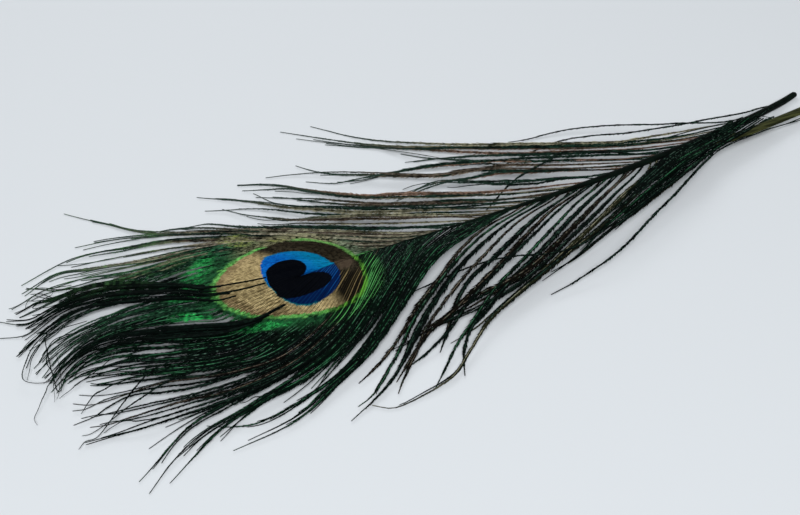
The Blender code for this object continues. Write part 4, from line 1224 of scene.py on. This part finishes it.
    def blue(self, colour):
        """The disc: azure above the shaft's line, deep blue with fine lines below it, a teal rim. The azure
        half is partly painted sheen.
        """
        disc = self.ellipse(-34.3, 1.2, 11.1, 13.6, -0.06, 2.34, 0.02)
        azure = self.mix((self.x + self.y * 0.3).step(-34.0, -24.0), *AZURE_LEFT_AND_RIGHT)
        azure = self.mix(self.streak * 0.5, azure, AZURE_STREAK)
        azure = self.mix(self.flecks.step(0.50, 0.36) * 0.6, azure, AZURE_FLECK)
        deep = self.mix(self.fine_line, *DEEP_BLUE)
        # The azure above the shaft's line is partly the barbules' own blue and partly painted sheen, the
        # light that the barbules on that side catch.
        blue = self.mix((self.y - self.x * 0.03).step(1.0, 1.5), deep, azure)
        rim = disc.step(0.94, 1.0) * self.x.step(-33.0, -39.0).maximum(self.above * 0.4)
        blue = self.mix(rim, blue, TEAL_RIM)
        narrower = self.x.step(-34.0, -24.0) * 0.07
        narrower = narrower + self.x.step(-39.0, -44.0) * self.y.step(2.0, 10.0) * 0.08
        disc = disc + self.above * narrower
        return self.mix(disc.step(1.02, 0.98) * self.laid, colour, blue)

    def heart(self, colour):
        """The black heart: an upper lobe, a lower lobe and the part that joins them at the left."""
        upper = self.ellipse(-37.5, 5.0, 6.4, 5.4)
        lower = self.ellipse(-35.8, -3.9, 9.1, 4.3, 0.0, 2.2)
        joined = self.ellipse(-40.5, 1.0, 4.4, 8.0, 0.05)
        heart = upper.minimum(lower).minimum(joined)
        return self.mix(heart.step(1.04, 0.97) * self.laid, colour, HEART_BLACK)

    def between_barbs(self, colour, brown_share):
        """Darker along each knitted barb's ramus, except on the painted gold glint lines and outside the
        oval.
        """
        ramus = self.edge.step(0.22, 0.05) * self.knitted * (brown_share * self.above.flip()).flip()
        ramus = ramus * self.oval.step(1.04, 1.0)
        shade = (ramus * (self.above * -0.45 + 0.8)).flip() * (self.grain * 0.3 + 0.85)
        return self.scale(colour, shade)


def barb_material():
    p = BarbPainter("iridescent_barbs")
    brown_share = (p.x + p.y.maximum(4.0) * 0.75).step(-31.0, -24.0)
    colour = p.ring(p.bright_patches(p.halo(p.herl())))
    colour = p.bronze(colour, brown_share)
    colour = p.between_barbs(p.heart(p.blue(colour)), brown_share)
    grey = p.node("ShaderNodeRGBToBW")
    p.tree.links.new(colour, grey.inputs[0])
    metal = p.term(grey.outputs[0]).step(0.01, 0.10) * 0.4
    p.tree.links.new(metal.socket, p.shader.inputs["Metallic"])
    return p.finish(colour, p.streak * -0.14 + 0.57, 0.01, p.middle * 0.6 + p.flecks * 0.4, 0.25, 0.08 * MM)


def shaft_material(name, dark, light):
    p = Painter(name)
    grain = p.noise(p.spot((120.0, 900.0, 900.0)), 1.0, 4.0)
    colour = p.mix(grain.step(0.35, 0.7), dark, light)
    return p.finish(colour, grain * 0.3 + 0.35, 0.03, grain, 0.3, 0.2 * MM)


# ---------------------------------------------------------------- floor, lights and camera

def floor_material():
    p = Painter("pale_floor")
    p.shader.inputs["Base Color"].default_value = (*FLOOR_COLOUR, 1.0)
    p.shader.inputs["Roughness"].default_value = 0.6
    p.shader.inputs["Specular IOR Level"].default_value = 0.2
    return p.material


def make_stage():
    bpy.ops.mesh.primitive_plane_add(size=6.0, location=(0, 0, FLOOR_HEIGHT))
    floor = bpy.context.object
    floor.name = "floor"
    floor.data.materials.append(floor_material())
    world = bpy.data.worlds.new("soft_room")
    bpy.context.scene.world = world
    world.use_nodes = True
    world.node_tree.nodes["Background"].inputs["Color"].default_value = (*ROOM_COLOUR, 1.0)
    world.node_tree.nodes["Background"].inputs["Strength"].default_value = ROOM_LIGHT
    bpy.context.scene.view_settings.view_transform = "Standard"


def area_light(name, place, size, power, colour):
    """A square or oblong light that shines on the feather's middle."""
    data = bpy.data.lights.new(name, "AREA")
    data.shape = "RECTANGLE"
    data.size, data.size_y = size
    data.energy = power
    data.color = colour
    light = bpy.data.objects.new(name, data)
    light.location = place
    light.rotation_euler = (-Vector(place)).to_track_quat("-Z", "Y").to_euler()
    bpy.context.scene.collection.objects.link(light)


def towards(turn, rise):
    """A direction from the feather's front, turned round it and raised by so many degrees."""
    turn, rise = math.radians(turn), math.radians(rise)
    return Vector((math.sin(turn) * math.cos(rise), -math.cos(turn) * math.cos(rise), math.sin(rise)))


def make_lights():
    front = towards(CAMERA_TURN, CAMERA_RISE + 6.0)
    area_light("front_softbox", front * 2.0, (0.8, 0.8), 37.2, (0.98, 0.99, 1.0))
    area_light("window", (0.35, 1.1, 0.8), (0.9, 0.7), 5.5, (0.96, 0.98, 1.0))


def make_camera():
    back = towards(CAMERA_TURN, CAMERA_RISE)
    target = Vector((CAMERA_TARGET[0] - MIDDLE[0], CAMERA_TARGET[1] - MIDDLE[1], CAMERA_TARGET[2])) * MM
    camera = bpy.data.objects.new("camera", bpy.data.cameras.new("camera"))
    camera.location = target + back * CAMERA_DISTANCE * MM
    camera.rotation_euler = (-back).to_track_quat("-Z", "Y").to_euler()
    camera.data.lens = CAMERA_LENS
    camera.data.clip_start = 0.01
    bpy.context.scene.collection.objects.link(camera)
    bpy.context.scene.camera = camera


make_stage()
make_lights()
make_camera()
make_shaft(shaft_material("shaft_skin", (0.001, 0.002, 0.0015), (0.003, 0.008, 0.005)),
           shaft_material("sliver_skin", (0.012, 0.014, 0.005), (0.06, 0.065, 0.022)))
barbs = barb_material()
make_web(barbs)
make_feather(barbs)
